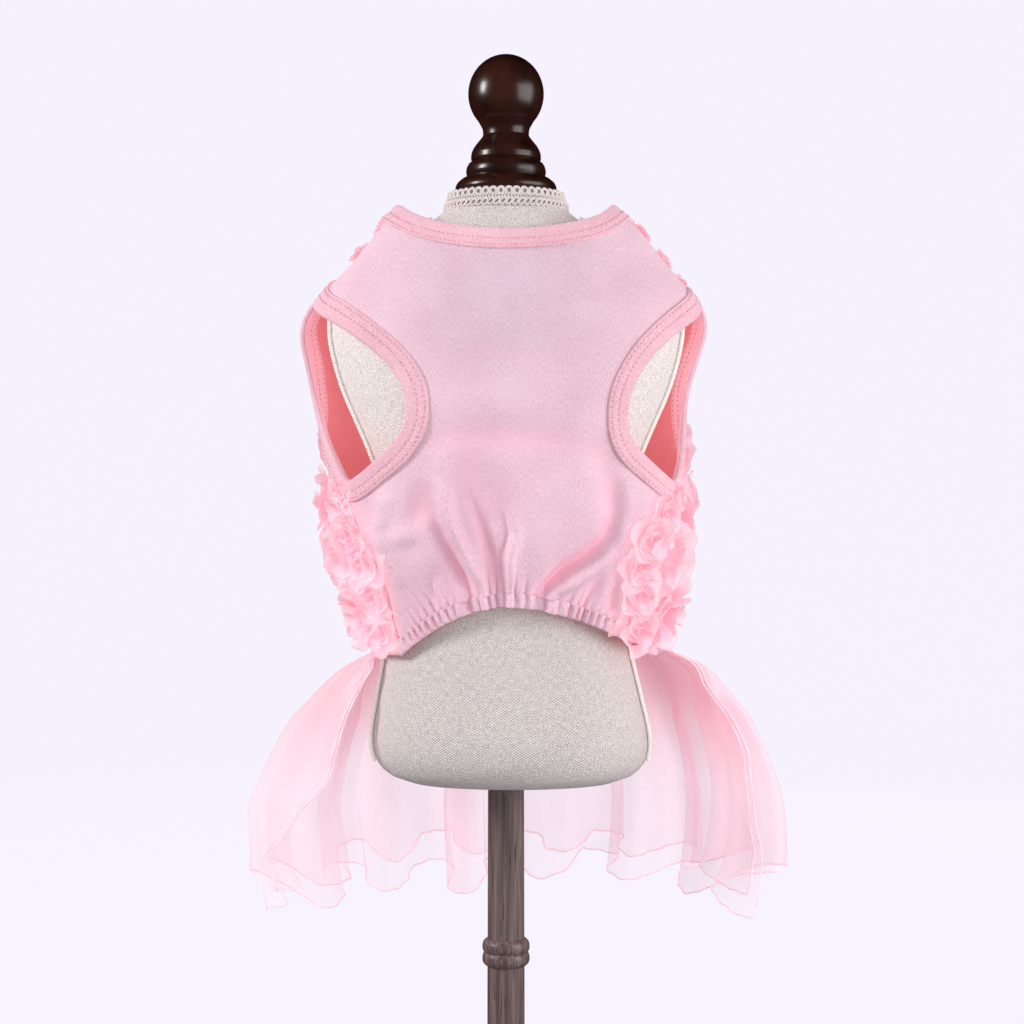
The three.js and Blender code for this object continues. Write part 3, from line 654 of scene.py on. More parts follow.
# At each height of a panel's side edges: the panels' middle heights, and where their edges lie,
# in degrees from the centre front.
sections = table(
    "z belly back belly_left belly_right back_left back_right",
    (290, 316.5, 290, 49, 51, 49, 51), (298, 324.5, 298, 48.8, 49.5, 48.8, 49.5),
    (308, 333, 308, 48.5, 46.5, 48.5, 46.5), (322, 343.5, 321, 47.5, 43.5, 47.5, 43.5),
    (337, 354, 336, 50, 43, 50, 43), (351, 364, 350, 54.5, 48, 54.5, 48),
    (366, 374.5, 364.5, 60, 58, 60, 58), (381, 385, 379, 60.5, 70, 60.5, 70),
    (386, 389, 383.5, 52, 61, 64.5, 74.5), (392, 394, 389.5, 45, 53, 68, 78),
    (404, 404, 401, 34.5, 42.5, 76, 83), (416, 414, 412.5, 30, 40.3, 82, 86),
    (428, 424, 424, 29.3, 41, 86, 88), (441, 434.5, 436, 32.5, 44, 88, 89),
    (454, 445, 447.5, 40, 49.5, 89, 89), (464, 453, 456, 49, 57.5, 89, 89),
    (470, 458, 461, 57.5, 66, 89, 89), (474, 461.5, 464, 66, 73.5, 89.5, 89.5),
    (477.5, 464.5, 466.5, 74, 80, 89.5, 89.5), (480.5, 467, 469, 82, 85, 90, 90),
    (484, 470, 472, 90, 90, 90, 90), (491, 476, 477.5, 90, 90, 90, 90),
    (500, 484, 484.5, 90, 90, 90, 90), (511, 494.5, 492, 90, 90, 90, 90),
    (521, 503.5, 499, 90, 90, 90, 90), (528, 509.5, 503.5, 90, 90, 90, 90),
    (534, 515.5, 508, 90, 90, 90, 90))


def drawn_in(turn, z):
    """How far the back panel is drawn in behind the edges of its armholes, which stand away."""
    behind = np.maximum(-np.cos(turn), 0)
    zone = np.exp(-((z - PINCH["height"]) / PINCH["reach"]) ** 4)
    return np.sin(turn) * PINCH["depth"] * zone * (1 - np.exp(-behind / PINCH["turn"]))


def half_sizes(left, front, z):
    """Half the dress's width and depth, where it is on the left or right, and in front or behind."""
    width = np.where(left, read(dress_rings, "left", z), read(dress_rings, "right", z))
    return width, np.where(front, read(dress_rings, "belly", z), read(dress_rings, "back", z))


def bodice(angle, z):
    """Points on the middle of the dress's cloth."""
    turn = np.radians(angle)
    points = oval_point(angle, z, *half_sizes(np.sin(turn) < 0, np.cos(turn) > 0, z))
    points[..., 0] -= drawn_in(turn, z)
    return points


def unit(vectors):
    """The vectors at a length of one."""
    return vectors / np.linalg.norm(vectors, axis=-1)[..., None]


def bodice_normal(angle, z):
    """The way that the dress's cloth faces."""
    across = bodice(angle + 0.5, z) - bodice(angle - 0.5, z)
    up = bodice(angle, z + 0.5) - bodice(angle, z - 0.5)
    return unit(np.cross(across, up))


def off_cloth(angle, z, lift):
    """Points that stand off the middle of the dress's cloth."""
    return bodice(angle, z) + bodice_normal(angle, z) * np.asarray(lift)[..., None]


def bodice_angle(points):
    """The angle at which the dress's cloth lies under some points."""
    x, y, z = np.moveaxis(points, -1, 0)
    width, depth = half_sizes(x < 0, y < 0, z)
    turn = np.arctan2(x / width, -y / depth)
    for _ in range(3):
        turn = np.arctan2((x + drawn_in(turn, z)) / width, -y / depth)
    return np.degrees(turn)


def facing_at(points):
    """The way that the dress's cloth faces under some points."""
    return bodice_normal(bodice_angle(points), points[..., 2])


def edge_height(z, u):
    """How high a panel's side edge really lies: its right one runs up a little at the hem."""
    low = np.clip((ARMHOLE["foot"] - z) / (ARMHOLE["foot"] - HEM["casing_top"]), 0, 1)
    return z + np.where(u > 0, HEM["right_rise"] * low**2, 0)


def back_hem(angle):
    """The height of the back panel's hem at angles from the centre back."""
    edge = 180 - np.where(angle < 0, sections["back_left"][0], sections["back_right"][0])
    rise = (angle / edge) ** BACK_CURVE
    return HEM["corner"] + (edge_height(sections["z"][0], angle) - HEM["corner"]) * rise


def panel_places(side, u, z):
    """Angles and heights of a panel's points, for u from -1 to 1 across it and z up its edges."""
    front = side == "belly"
    risen = (z - HEM["corner"]) / (NECK["peak"] - HEM["corner"])
    bound = (z > ARMHOLE["foot"]) & (z < ARMHOLE["shoulder"])
    edge = np.where(u < 0, read(sections, side + "_left", z), read(sections, side + "_right", z))
    reach = (edge if front else 180 - edge) - bound * ARMHOLE["inset"] * DEGREES_PER_MM
    share = np.abs(u) ** BACK_CURVE
    if front:
        sine = np.sin(np.radians(np.abs(u) * reach)) / np.sin(np.radians(reach))
        share = sine ** (HEM["curve"] + (NECK["curve"] - HEM["curve"]) * risen)
    middle = read(sections, side, z)
    height = middle + (edge_height(z, u) - middle) * share - ARMHOLE["inset"] * risen**8
    return (u * reach if front else 180 - u * reach), height


def seam_sink(u, z):
    """How far a panel's cloth sinks along its sewn edges, at the sides and shoulders."""
    sewn = (z <= ARMHOLE["foot"]) | (z >= ARMHOLE["shoulder"])
    away = (1 - np.abs(u)) * 90 / DEGREES_PER_MM / JERSEY["seam_width"]
    return -JERSEY["seam_sink"] * np.exp(-(away**2)) * sewn


def panel_heights(low, counts):
    """Rows of heights up a panel's side edges: below, along and above its armholes."""
    gap = 0.1
    spans = ((low, ARMHOLE["foot"] - gap), (ARMHOLE["foot"] + gap, ARMHOLE["shoulder"] - gap),
             (ARMHOLE["shoulder"] + gap, NECK["peak"]))
    return np.concatenate([np.linspace(*span, count) for span, count in zip(spans, counts)])[:, None]


def jersey(name, colour, deep, glow=None, painted_shade=None, painted_fold_shade=None):
    """Cotton jersey: fine upright wales of small loops, an uneven dye, and a soft nap.

    A painted shade has a place, a reach, a share and a colour, and darkens and cools the cloth round
    that place. The painted fold shade deepens the colour in the folds' hollows and raises a painted glow
    there.
    """
    made, tree, shader = finish_of(name, colour, 0.85, glow, Sheen_Weight=0.25, Sheen_Roughness=0.45)
    cloth = cloth_of(tree)
    turns = 2 * math.pi / (JERSEY["wale"] * MM)
    ways = ways_of(tree, cloth)
    wale = calc(tree, "SINE", calc(tree, "MULTIPLY", ways["X"], turns))
    rows = calc(tree, "MULTIPLY", ways["Y"], turns * 1.35)
    loop = calc(tree, "SINE", calc(tree, "MULTIPLY_ADD", calc(tree, "ABSOLUTE", wale), 1.6, rows))
    knit = calc(tree, "MULTIPLY_ADD", loop, 0.2, calc(tree, "MULTIPLY", wale, 0.3))
    streaks = noise(tree, cloth, 3, (1900, 520, 1))
    mottle = calc(tree, "MULTIPLY_ADD", noise(tree, cloth, 4, 22), 0.55, streaks)
    shade = mixed(tree, remap(tree, mottle, 0.62, 0.93), deep, colour)
    # Painted shade: darker and cooler round a place.
    if painted_shade:
        centre, reach, share, shade_tone = painted_shade
        place = place_in(tree)
        far = node(tree, "ShaderNodeVectorMath", {0: place, 1: centre}, operation="DISTANCE")
        near = remap(tree, far.outputs["Value"], reach, 0.0, 0.0, share,
                     interpolation_type="SMOOTHSTEP")
        shade = mixed(tree, near, shade, shade_tone, blend_type="MULTIPLY")
    # Painted shade in the folds' hollows, with a painted glow that grows there.
    if painted_fold_shade:
        fold_shade_share = node(tree, "ShaderNodeAttribute", attribute_name="painted_fold_shade").outputs["Fac"]
        shade = mixed(tree, fold_shade_share, shade, painted_fold_shade)
        painted_glow_strength = remap(tree, fold_shade_share, 0.0, 1.0, glow[3], 0.2)
        tree.links.new(painted_glow_strength, shader.inputs["Emission Strength"])
    surface(tree, shader, shade, calc(tree, "MULTIPLY_ADD", streaks, 3.0, knit), 0.6, 0.00022)
    return made


def thicken(piece, thickness):
    """Gives a piece of cloth its thickness, half to each side, with its wrong side second."""
    wall = piece.modifiers.new("thickness", "SOLIDIFY")
    wall.thickness = thickness * MM
    wall.offset = 0
    wall.material_offset = len(piece.data.materials) - 1


back_jersey = jersey("back jersey", (0.90, 0.53, 0.60), (0.84, 0.44, 0.52))
# A painted glow stands for daylight that comes through the thin cloth from behind.
coral_jersey = jersey("wrong side of the jersey", (0.86, 0.26, 0.29), (0.78, 0.19, 0.23),
                      glow=(1.0, 0.29, 0.31, 0.30))
u = np.linspace(1, -1, 121)[None, :]
z = panel_heights(HEM["corner"], (52, 60, 28))
angle, height = panel_places("back", u, z)
crumple = 0.45 * np.sin(height / 3.1 + 2.2 * np.sin(angle / 9)) * np.sin(angle / 5.3 + height / 21)
crumple += 0.6 * np.exp(-((height - 402 - angle % 17) / 3.0) ** 2)
crumple *= (1 - np.abs(u) ** 8) * np.exp(-((height - 408) / 26) ** 2)
back_points = off_cloth(angle, height, seam_sink(u, z) + crumple)
middle_row = back_points.shape[0] // 2
back_across = np.broadcast_to(arc_lengths(back_points[middle_row]), height.shape)
back_mesh = cloth_mesh("back_panel_cloth", back_points, back_across, height)
back_panel = add_piece("back_panel_cloth", back_mesh, [back_jersey, coral_jersey],
                       ["back_panel"])
thicken(back_panel, JERSEY["thickness"])

# ---- The belly panel ----
# One piece of paler pink jersey from the shoulders to an arched hem, with deep armholes. The
# elastic in its hem pulls soft creases up the panel, and a fold runs in from each side seam.
# Each crease has its depth, its half width at its foot and its head, and its path from foot to head,
# in millimetres across and up. The first ones start at the hem and fade towards their heads.
hem_creases = [
    (-2.3, 2.6, 5.0, ((-15, 314), (-18, 324), (-24, 336), (-30, 348), (-36, 360), (-40, 374))),
    (1.5, 2.6, 4.0, ((-10, 316), (-13, 327), (-19, 341), (-25, 354), (-30, 368), (-32, 392))),
    (-2.0, 2.4, 6.0, ((-4, 316), (-6, 328), (-8, 342), (-12, 359), (-18, 376), (-24, 400))),
    (-1.4, 2.0, 4.5, ((-1, 318), (-2, 332), (-2, 342), (1, 356), (-2, 368), (-9, 386))),
    (1.5, 2.4, 4.0, ((4, 318), (3, 327), (2, 342), (5, 355), (4, 372))),
    (-3.4, 2.6, 8.0, ((18, 324), (24, 330), (31, 336), (43, 343), (54, 351), (59, 363), (57, 381),
     (49, 402))),
    (2.2, 2.6, 4.5, ((22, 318), (27, 324), (37, 331), (50, 341), (61, 354), (64, 371), (63, 388))),
    (-1.8, 3.0, 4.0, ((40, 316), (46, 325), (51, 335))),
    (-1.8, 3.0, 3.5, ((56, 315), (58, 326), (61, 338))),
    (-0.7, 2.4, 3.4, ((-38, 316), (-39, 327), (-36, 338))),
    (-0.8, 2.2, 3.2, ((-27, 316), (-30, 326), (-34, 340))),
]
free_creases = [  # these fade at both ends
    (-1.1, 6.5, 7.5, ((-50, 348), (-47, 366), (-42, 388))),
    (1.3, 3.2, 3.6, ((-22, 340), (-27, 356), (-31, 372), (-33, 394))),
    (0.8, 5.5, 5.5, ((-66, 350), (-53, 354), (-41, 360))),
    (1.5, 3.5, 4.5, ((-57, 330), (-64, 344), (-68, 356), (-64, 372))),
    (-0.7, 7.0, 8.0, ((-54, 402), (-25, 407), (20, 405), (50, 400))),
    (0.4, 8.0, 9.0, ((-50, 423), (-10, 427), (35, 424))),
    (-0.3, 6.0, 7.0, ((-40, 446), (0, 449), (40, 443))),
    (0.3, 6.0, 6.0, ((-52, 470), (0, 465), (55, 472))),
]
CREASE_RELIEF = 2.9
CASING = {"width": 8.0, "thickness": 2.2}
GATHER = {"pitch": 5.6, "height": 2.3, "rise": 8, "middle": 0.74}


def gathers(along):
    """How high the gathers of the elastic hem stand, from about 0 to 1, with a slit between two."""
    phase = 2 * math.pi * along / GATHER["pitch"] + 1.7 * np.sin(along / 7.7)
    phase = phase + 0.9 * np.sin(along / 4.3 + 2)
    depth = 0.6 + 0.4 * np.sin(along / 3.3 + 0.6) * np.sin(along / 5.9)
    near = 0.5 + 0.5 * np.cos(phase)
    return 1 - 0.85 * depth * near**7 - 0.3 * near


def crease_height(x, z):
    """The height of all the creases at points of the belly, seen square to it."""
    total = np.zeros_like(x)
    for depth, low, high, path in hem_creases + free_creases:
        nearest, share = np.full_like(x, np.inf), np.zeros_like(x)
        for k, (a, b) in enumerate(zip(path, path[1:])):
            run = np.subtract(b, a)
            t = np.clip(((x - a[0]) * run[0] + (z - a[1]) * run[1]) / (run @ run), 0, 1)
            away = np.hypot(x - a[0] - t * run[0], z - a[1] - t * run[1])
            share = np.where(away < nearest, (k + t) / (len(path) - 1), share)
            nearest = np.minimum(away, nearest)
        fade = 1 - 0.9 * share**2
        if (depth, low, high, path) in free_creases:
            fade = np.sin(np.pi * np.clip(share, 0.12, 0.88))
        total += CREASE_RELIEF * depth * fade * np.exp(-(nearest / (low + (high - low) * share)) ** 2)
    return total


def belly_lift(angle, z, u):
    """How far the belly's cloth stands off its middle surface."""
    points = bodice(angle, z)
    hem = panel_places("belly", u, np.full_like(z, HEM["corner"]))[1]
    above = np.maximum(z - hem - CASING["width"], 0)
    along = angle / DEGREES_PER_MM
    rise = GATHER["rise"] * (1.1 + 0.75 * np.sin(along / 4.1 + 1) * np.sin(along / 9.3))
    pleats = gathers(along * (1 - 0.009 * above)) - GATHER["middle"]
    pleats *= GATHER["height"] * np.exp(-above / rise)
    creases = crease_height(points[..., 0], points[..., 2]) * (1 - 0.6 * np.exp(-((above / 10) ** 2)))
    return (creases + pleats) * (1 - np.abs(u) ** 8)


# A painted pink glow stands for light caught in the thin cloth, also where it is shaded; a painted shade
# darkens and cools the chest, and the folds' hollows get a painted shade.
belly_jersey = jersey("belly jersey", (0.77, 0.56, 0.645), (0.635, 0.405, 0.50),
                      glow=(1.0, 0.5, 0.6, 0.075), painted_fold_shade=(0.72, 0.36, 0.47),
                      painted_shade=((0.0, -0.045, 0.485), 0.105, 0.9, (0.78, 0.88, 0.89)))
u = np.linspace(-1, 1, 241)[None, :]
z = panel_heights(HEM["corner"] + 7, (70, 34, 14))
angle, height = panel_places("belly", u, z)
lift = belly_lift(angle, height, u) + seam_sink(u, z)
belly_points = off_cloth(angle, height, lift)
belly_across = arc_lengths(belly_points)
belly_across -= belly_across[:, 120:121]
belly_mesh = cloth_mesh("belly_panel_cloth", belly_points, belly_across, height)
# Painted shade in the creases' hollows, and a little more towards the panel's lower edge.
painted_shade_in_folds = np.clip(-lift / 5.5, 0, 1) * 0.72 + 0.2 * np.exp(-(z - z[0]) / 16)
mark(belly_mesh, "painted_fold_shade", "FLOAT", painted_shade_in_folds)
belly_panel = add_piece("belly_panel_cloth", belly_mesh, [belly_jersey, coral_jersey],
                        ["belly_panel"])
thicken(belly_panel, JERSEY["thickness"])

# ---- The gathered hem of the belly ----
# The belly's lower edge is turned up into a narrow casing over elastic, which gathers it into
# small uneven pleats. One row of stitches holds the casing's top.
def swept(line, profile, lift=0, ripple=None, side=1):
    """Cloth swept along a line on the dress. Returns its rows of points, and its length.

    The profile is in pairs: how far into the panel from the line, and how far off its middle. The
    panel lies to the left of the line as it is seen from outside, or with side -1 to its right.
    """
    closed = np.allclose(line[0], line[-1])
    ahead, behind = np.roll(line, -1, axis=0), np.roll(line, 1, axis=0)
    if closed:
        ahead[-1], behind[0] = line[1], line[-2]
    else:
        ahead[-1], behind[0] = line[-1], line[0]
    into = side * unit(np.cross(facing_at(line), ahead - behind))
    along = arc_lengths(line)
    rows = []
    for reach, height in profile:
        points = line + into * reach
        if ripple is not None:
            height = ripple(along, reach, height)
        rows.append(off_cloth(bodice_angle(points), points[:, 2], height + lift))
    return np.array(rows), along


def rounded_strip(width, thickness, base, steps=7):
    """The closed section of a flat folded strip with a round edge, from its panel side."""
    half = thickness / 2
    turns = np.radians(np.linspace(-90, 90, steps))
    fold = [(half - half * math.cos(t), base - half * math.sin(t)) for t in turns]
    rise = [(width - half / 2 + half / 2 * math.cos(t), base + half * math.sin(t)) for t in turns]
    top = [(width * (1 - k / 6), base + half) for k in range(1, 6)]
    under = [(width * k / 6, base - half) for k in range(1, 6)]
    outline = rise + top + fold + under
    return np.array([*outline, outline[0]])


u = np.linspace(-1, 1, 481)
angle, height = panel_places("belly", u, np.full(u.shape, float(HEM["corner"])))
hem_lift = belly_lift(angle, height + CASING["width"], u)
hem_line = bodice(angle, height)


def casing_gathers(reach):
    """The gathers at a distance from the hem's edge, where they slant a little to either side."""
    along = angle / DEGREES_PER_MM
    return gathers(along + 0.22 * (reach - CASING["width"]) * np.sin(along / 19 + 1))


def casing_ripple(_, reach, height):
    """The casing puffs out between its gathers, most at mid height."""
    puff = math.sin(math.pi * min(max(reach / CASING["width"], 0.12), 0.9))
    pleat = casing_gathers(reach) - GATHER["middle"]
    out = 1.2 * pleat * puff * np.sign(height) * (1 - np.abs(u) ** 12)
    return height * (1 + 0.3 * pleat * puff) + out


casing_section = rounded_strip(CASING["width"], CASING["thickness"], 0)
# The casing thins towards its stitched top, where it lies on the panel.
casing_section[:, 1] *= 1 - 0.42 * np.clip(casing_section[:, 0] / CASING["width"], 0, 1) ** 1.5
casing_rows, along = swept(hem_line, casing_section, hem_lift, casing_ripple)
casing_mesh = cloth_mesh("belly_casing_cloth", casing_rows[::-1], along[None, :],
                         arc_lengths(np.moveaxis(casing_rows, 0, 1))[0][::-1, None], turns=True)
# Painted shade in the slits between the gathers.
painted_shade_in_slits = [np.clip(0.6 - casing_gathers(reach), 0, 1) for reach in casing_section[::-1][:-1, 0]]
mark(casing_mesh, "painted_fold_shade", "FLOAT", painted_shade_in_slits)
pink_thread = yarn("pink thread", (0.76, 0.31, 0.40), 0.6)
casing_line = swept(hem_line, [(CASING["width"] + 0.3, 0.62)], hem_lift)[0][0]
casing_stitches = grown("belly_casing_stitches", [(casing_line, facing_at(casing_line))], stitch_row,
                        pink_thread, Pitch=0.0029, Length=0.0015, Width=0.0004, Height=0.0003)
casing_piece = add_piece("belly_casing_cloth", casing_mesh, [belly_jersey], ["belly_casing"])
casing_thread = add_piece("belly_casing_stitches", casing_stitches, [pink_thread])

# ---- The bindings ----
# Folded strips of the same jersey wrap the raw edges of the neck and armholes, and two rows of
# coverstitch in a deeper pink thread run round each, 4 mm apart. The strips pucker where they turn.
BINDING = {"width": 11.0, "thickness": 1.5, "cut": 27, "stitch_reach": (9.2, 5.2),
           "stitch_pitch": 2.75, "stitch_dip": 0.3, "round": 0.8}
# A faint painted glow lifts the binding's shaded parts.
binding_jersey = jersey("binding jersey", (0.79, 0.50, 0.58), (0.64, 0.355, 0.44),
                        glow=(0.95, 0.5, 0.56, 0.06))
# A brighter, pinker copy of the binding jersey with a painted glow, for the leg inside the dress.
painted_backlit_binding = jersey("binding's inner leg", (0.90, 0.44, 0.50), (0.84, 0.36, 0.43),
                        glow=(0.98, 0.46, 0.52, 0.33))
cover_thread = yarn("cover thread", (0.86, 0.53, 0.61), 0.7)


def smooth_line(corners, spacing):
    """An evenly spaced line on a smooth curve through some corners."""
    corners = np.array(corners)
    at = arc_lengths(corners)
    run = np.diff(at)[:, None]
    slopes = np.diff(corners, axis=0) / run
    inner = (slopes[1:] * run[:-1] + slopes[:-1] * run[1:]) / (run[1:] + run[:-1])
    tangents = np.vstack([slopes[:1], inner, slopes[-1:]])
    goals = np.linspace(0, at[-1], 24 * len(corners))
    i = np.clip(np.searchsorted(at, goals) - 1, 0, len(at) - 2)
    t = ((goals - at[i]) / (at[i + 1] - at[i]))[:, None]
    a, b, width = corners[i], corners[i + 1], (at[i + 1] - at[i])[:, None]
    fine = (a * (1 + 2 * t) * (1 - t) ** 2 + b * (3 - 2 * t) * t**2
            + width * (tangents[i] * t * (1 - t) ** 2 - tangents[i + 1] * (1 - t) * t**2))
    length = arc_lengths(fine)
    even = np.linspace(0, length[-1], max(int(length[-1] / spacing), 2))
    return np.stack([np.interp(even, length, fine[:, k]) for k in range(3)], axis=-1)


def binding_section():
    """The strip's section: an outer leg, the fold round the edge, and an inner leg."""
    width, plump, soft = BINDING["width"], BINDING["thickness"], BINDING["round"]
    lie = JERSEY["thickness"] / 2 + 0.05
    turns = np.radians(np.linspace(90, 270, 11))
    outer = []
    for reach in np.linspace(width, soft, 26):
        dip = sum(math.exp(-((reach - at) / 0.45) ** 2) for at in BINDING["stitch_reach"])
        edge = math.sqrt(max(1 - (max(reach - width + soft, 0) / soft) ** 2, 0))
        outer.append((reach, lie + (plump - BINDING["stitch_dip"] * dip) * max(edge, 0.05)))
    fold = [(0.6 + (plump + lie) * math.cos(t) * 1.05, (plump + lie) * math.sin(t)) for t in turns]
    inner = [(reach, -height) for reach, height in reversed(outer)]
    return np.array([*outer, *fold, *inner])


def pucker(along, reach, height):
    """The strip's small unevenness, more towards its fold, where it is drawn in on a curve."""
    wave = np.sin(along / 1.9 + 2.1 * np.sin(along / 13)) * (0.6 + 0.4 * np.sin(along / 23 + 1))
    slow = np.sin(along / 5.3 + 1.7 * np.sin(along / 29))
    share = 0.4 + 0.6 * math.exp(-((reach - 2.5) / 4) ** 2)
    return height + np.sign(height) * (0.10 * wave + 0.16 * slow) * share


def eased(rows, times=6):
    """Smooths closed lines a little, as a real folded strip turns a corner without a crease."""
    for _ in range(times):
        inner = rows[..., :-1, :]
        inner = 0.5 * inner + 0.25 * (np.roll(inner, 1, axis=-2) + np.roll(inner, -1, axis=-2))
        rows = np.concatenate([inner, inner[..., :1, :]], axis=-2)
    return rows


def thread_path(line, reach, face):
    """A path for thread on a strip's outer or inner leg, with the way that it faces."""
    seat = JERSEY["thickness"] / 2 + BINDING["thickness"] - 0.03
    row = eased(swept(line, [(reach, face * seat)], ripple=pucker, side=-1)[0])[0]
    return row, face * facing_at(row)


def add_binding(name, node_name, parts):
    """A binding round an edge that is made of smooth parts with corners between them."""
    lines = [smooth_line(part, 1.5) for part in parts]
    line = eased(np.concatenate([part[:-1] for part in lines] + [lines[0][:1]]), 3)
    rows, along = swept(line, binding_section(), ripple=pucker, side=-1)
    rows = eased(rows)
    across = arc_lengths(np.moveaxis(rows, 0, 1))[0]
    mesh = outward(cloth_mesh(name, rows, along[None, :], across[:, None], wraps=True))
    # The leg inside the dress gets a brighter, pinker copy of the jersey with a strong painted glow, as
    # painted backlight.
    inside = np.repeat(np.arange(rows.shape[0] - 1) > rows.shape[0] // 2, rows.shape[1] - 1)
    for finish in (binding_jersey, painted_backlit_binding):
        mesh.materials.append(finish)
    mesh.polygons.foreach_set("material_index", inside.astype(int))
    stitching = [thread_path(line, reach, face) for reach in BINDING["stitch_reach"] for face in (1, -1)]
    thread = grown(name + "_stitches", stitching, stitch_row, pink_thread, Sway=0.3,
                   Pitch=BINDING["stitch_pitch"] * MM, Length=0.0015, Width=0.0008, Height=0.0005)
    # The cover thread crosses from row to row on the outside.
    crossing = [thread_path(line, sum(BINDING["stitch_reach"]) / 2, 1)]
    cover = grown(name + "_cover", crossing, stitch_row, cover_thread, Pitch=0.0018, Length=0.0046,
                  Width=0.0006, Height=0.0006, Sway=1.05)
    thread = joined(name + "_stitches", [thread, cover])
    piece = add_piece(name, mesh, [binding_jersey], [node_name])
    stitching = add_piece(name + "_stitches", thread, [pink_thread])


def neck_edge(front):
    """The edge of the neck on one panel, from its left shoulder to its right, or round the back."""
    angle = np.linspace(-90, 90, 25)
    share = np.sin(np.radians(np.abs(angle))) if front else np.abs(angle) / 90
    middle = sections["belly" if front else "back"][-1]
    curve = NECK["curve"] if front else BACK_CURVE
    return bodice(angle if front else angle + 180, middle + (NECK["peak"] - middle) * share**curve)


def armhole_edge(panel, side):
    """The edge of an armhole on one panel, from its foot up to the shoulder."""
    z = sections["z"]
    open_here = (z >= ARMHOLE["foot"]) & (z <= ARMHOLE["shoulder"])
    sign = -1 if side == "left" else 1
    return bodice(sign * sections[panel + "_" + side][open_here], z[open_here])


add_binding("neck_binding_strip", "neck_binding", [neck_edge(True), neck_edge(False)])
for side, first, second in (("left", "belly", "back"), ("right", "back", "belly")):
    add_binding(f"armhole_binding_{side}_strip", "armhole_binding_" + side,
                [armhole_edge(first, side), armhole_edge(second, side)[::-1]])

# ---- The rosettes ----
# Flowers of soft chiffon ribbon, wound in a loose ruffled spiral and sewn in rows over the whole
# back panel. No two are wound alike, and their outer petals lean out over each other.
ROSETTE = {"turns": 3.3, "start": 1.3, "spread": 10.6, "height": (7.4, 9.4), "kinds": 5, "seed": 7,
           "overlap": 1.25, "radius": 17.5, "petal": 10.8, "steps": 165, "levels": 8, "lift": 0.7}
# Each row's height, count, pitch, flower radius and rise towards its ends, in millimetres. Smaller
# flowers fill in at its sides: which side, height, how far in from the seam, and size.
rosette_rows = [
    (310.5, 8, 37, 16.6, 1, (("left", 302, 19, 0.62), ("left", 321, 12, 0.66),
                             ("right", 303, 11, 0.75), ("right", 323, 11, 0.7))),
    (342, 9, 36, 16.6, 1, (("left", 338, 11, 0.72), ("left", 354, 11, 0.7),
                           ("right", 337, 11, 0.7), ("right", 351, 11, 0.75))),
    (374.5, 8, 34.6, 15.2, -3.5, (("left", 369, 11, 0.7), ("left", 379, 11, 0.5),
                                  ("right", 365, 11, 0.7), ("right", 377, 11, 0.55))),
    (406, 7, 35, 16.4, -1, ()),
    (439, 6, 37, 17.2, 4, ()),
    (471, 5, 38, 17.2, 16, (("left", 489, 10, 0.28), ("left", 508, 11, 0.34), ("left", 524, 11, 0.34),
                            ("right", 492, 10, 0.28), ("right", 505, 11, 0.36),
                            ("right", 520, 11, 0.36))),
]
ribbon_draw = np.random.default_rng(ROSETTE["seed"])


def chiffon(name, colour, deep, glow):
    """Thin matt chiffon, a little see-through, with painted shade that deepens its colour unevenly
    towards the ribbon's foot.
    """
    made, tree, shader = finish_of(name, colour, 0.7, glow, Alpha=0.5, Sheen_Weight=0.35,
                                   Sheen_Roughness=0.5)
    place = place_in(tree)
    depth = cloth_of(tree)
    rise = ways_of(tree, depth)["Y"]
    # Painted shade: deeper towards the ribbon's foot, unevenly.
    part = calc(tree, "MULTIPLY_ADD", noise(tree, place, 3, 130), 0.5, remap(tree, rise, 0.0, 0.0075))
    shade = mixed(tree, remap(tree, part, 0.3, 1.05), deep, colour)
    surface(tree, shader, shade, noise(tree, place, 2, 900), 0.3, 0.0002)
    return made


def ribbon_flower(name):
    """One rosette: a ruffled ribbon wound from the middle out, with its foot on the cloth."""
    s = np.linspace(0, 1, ROSETTE["steps"])[:, None]
    rise = np.linspace(0, 1, ROSETTE["levels"])[None, :]
    phase, wander = ribbon_draw.uniform(0, 2 * math.pi, 2)
    turn = 2 * math.pi * ROSETTE["turns"] * s**0.75 + phase
    foot = ROSETTE["start"] + ROSETTE["spread"] * s**0.9
    low, high = ROSETTE["height"]
    uneven = 1 + 0.13 * np.sin(turn * 2.3 + wander) + 0.08 * np.sin(turn * 5.1 + phase)
    tall = (low + (high - low) * s) * uneven
    spiral = np.hstack([foot * np.cos(turn), foot * np.sin(turn)])
    round_it = arc_lengths(spiral)[:, None]
    ruffle = round_it / ROSETTE["petal"] * 2 * math.pi + 1.3 * np.sin(round_it / 9.1 + phase)
    tall = tall * (0.70 + 0.34 * np.abs(np.cos(ruffle / 2)) ** 0.5)  # each petal has a rounded top
    # The ribbon leans out more towards the rim, and its free edge curls over.
    curl = (26 + 20 * np.sin(turn * 1.9)) * rise
    lean = np.radians(6 + 46 * s + 10 * np.sin(turn * 1.3 + wander) + curl)
    step = tall / (ROSETTE["levels"] - 1)
    out_run, up_run = (np.cumsum(way(lean) * step, axis=1) - way(lean[:, :1]) * step
                       for way in (np.sin, np.cos))
    full = (0.5 + 0.5 * s) * rise**1.1
    out = np.cos(ruffle) * 2.2 * full
    side = 0.45 * np.sin(2 * ruffle + 0.6) * full
    reach = foot + out_run + out * np.cos(lean)
    height = up_run - out * np.sin(lean) * 0.9 + 0.7 * np.sin(ruffle * 0.5 + wander) * full
    angle = turn + side / np.maximum(foot + out_run, 4)
    height = np.maximum(height, 0.5 * rise) + 1.6 * (1 - s) * rise
    grid = np.stack([reach * np.cos(angle), reach * np.sin(angle), height], axis=-1)
    crumple = np.sin(grid[..., [1, 2, 0]] * 0.9 + wander) * np.sin(grid[..., [2, 0, 1]] * 0.8 + phase)
    return cloth_mesh(name, grid + 0.35 * crumple * rise[..., None], round_it, rise * tall)


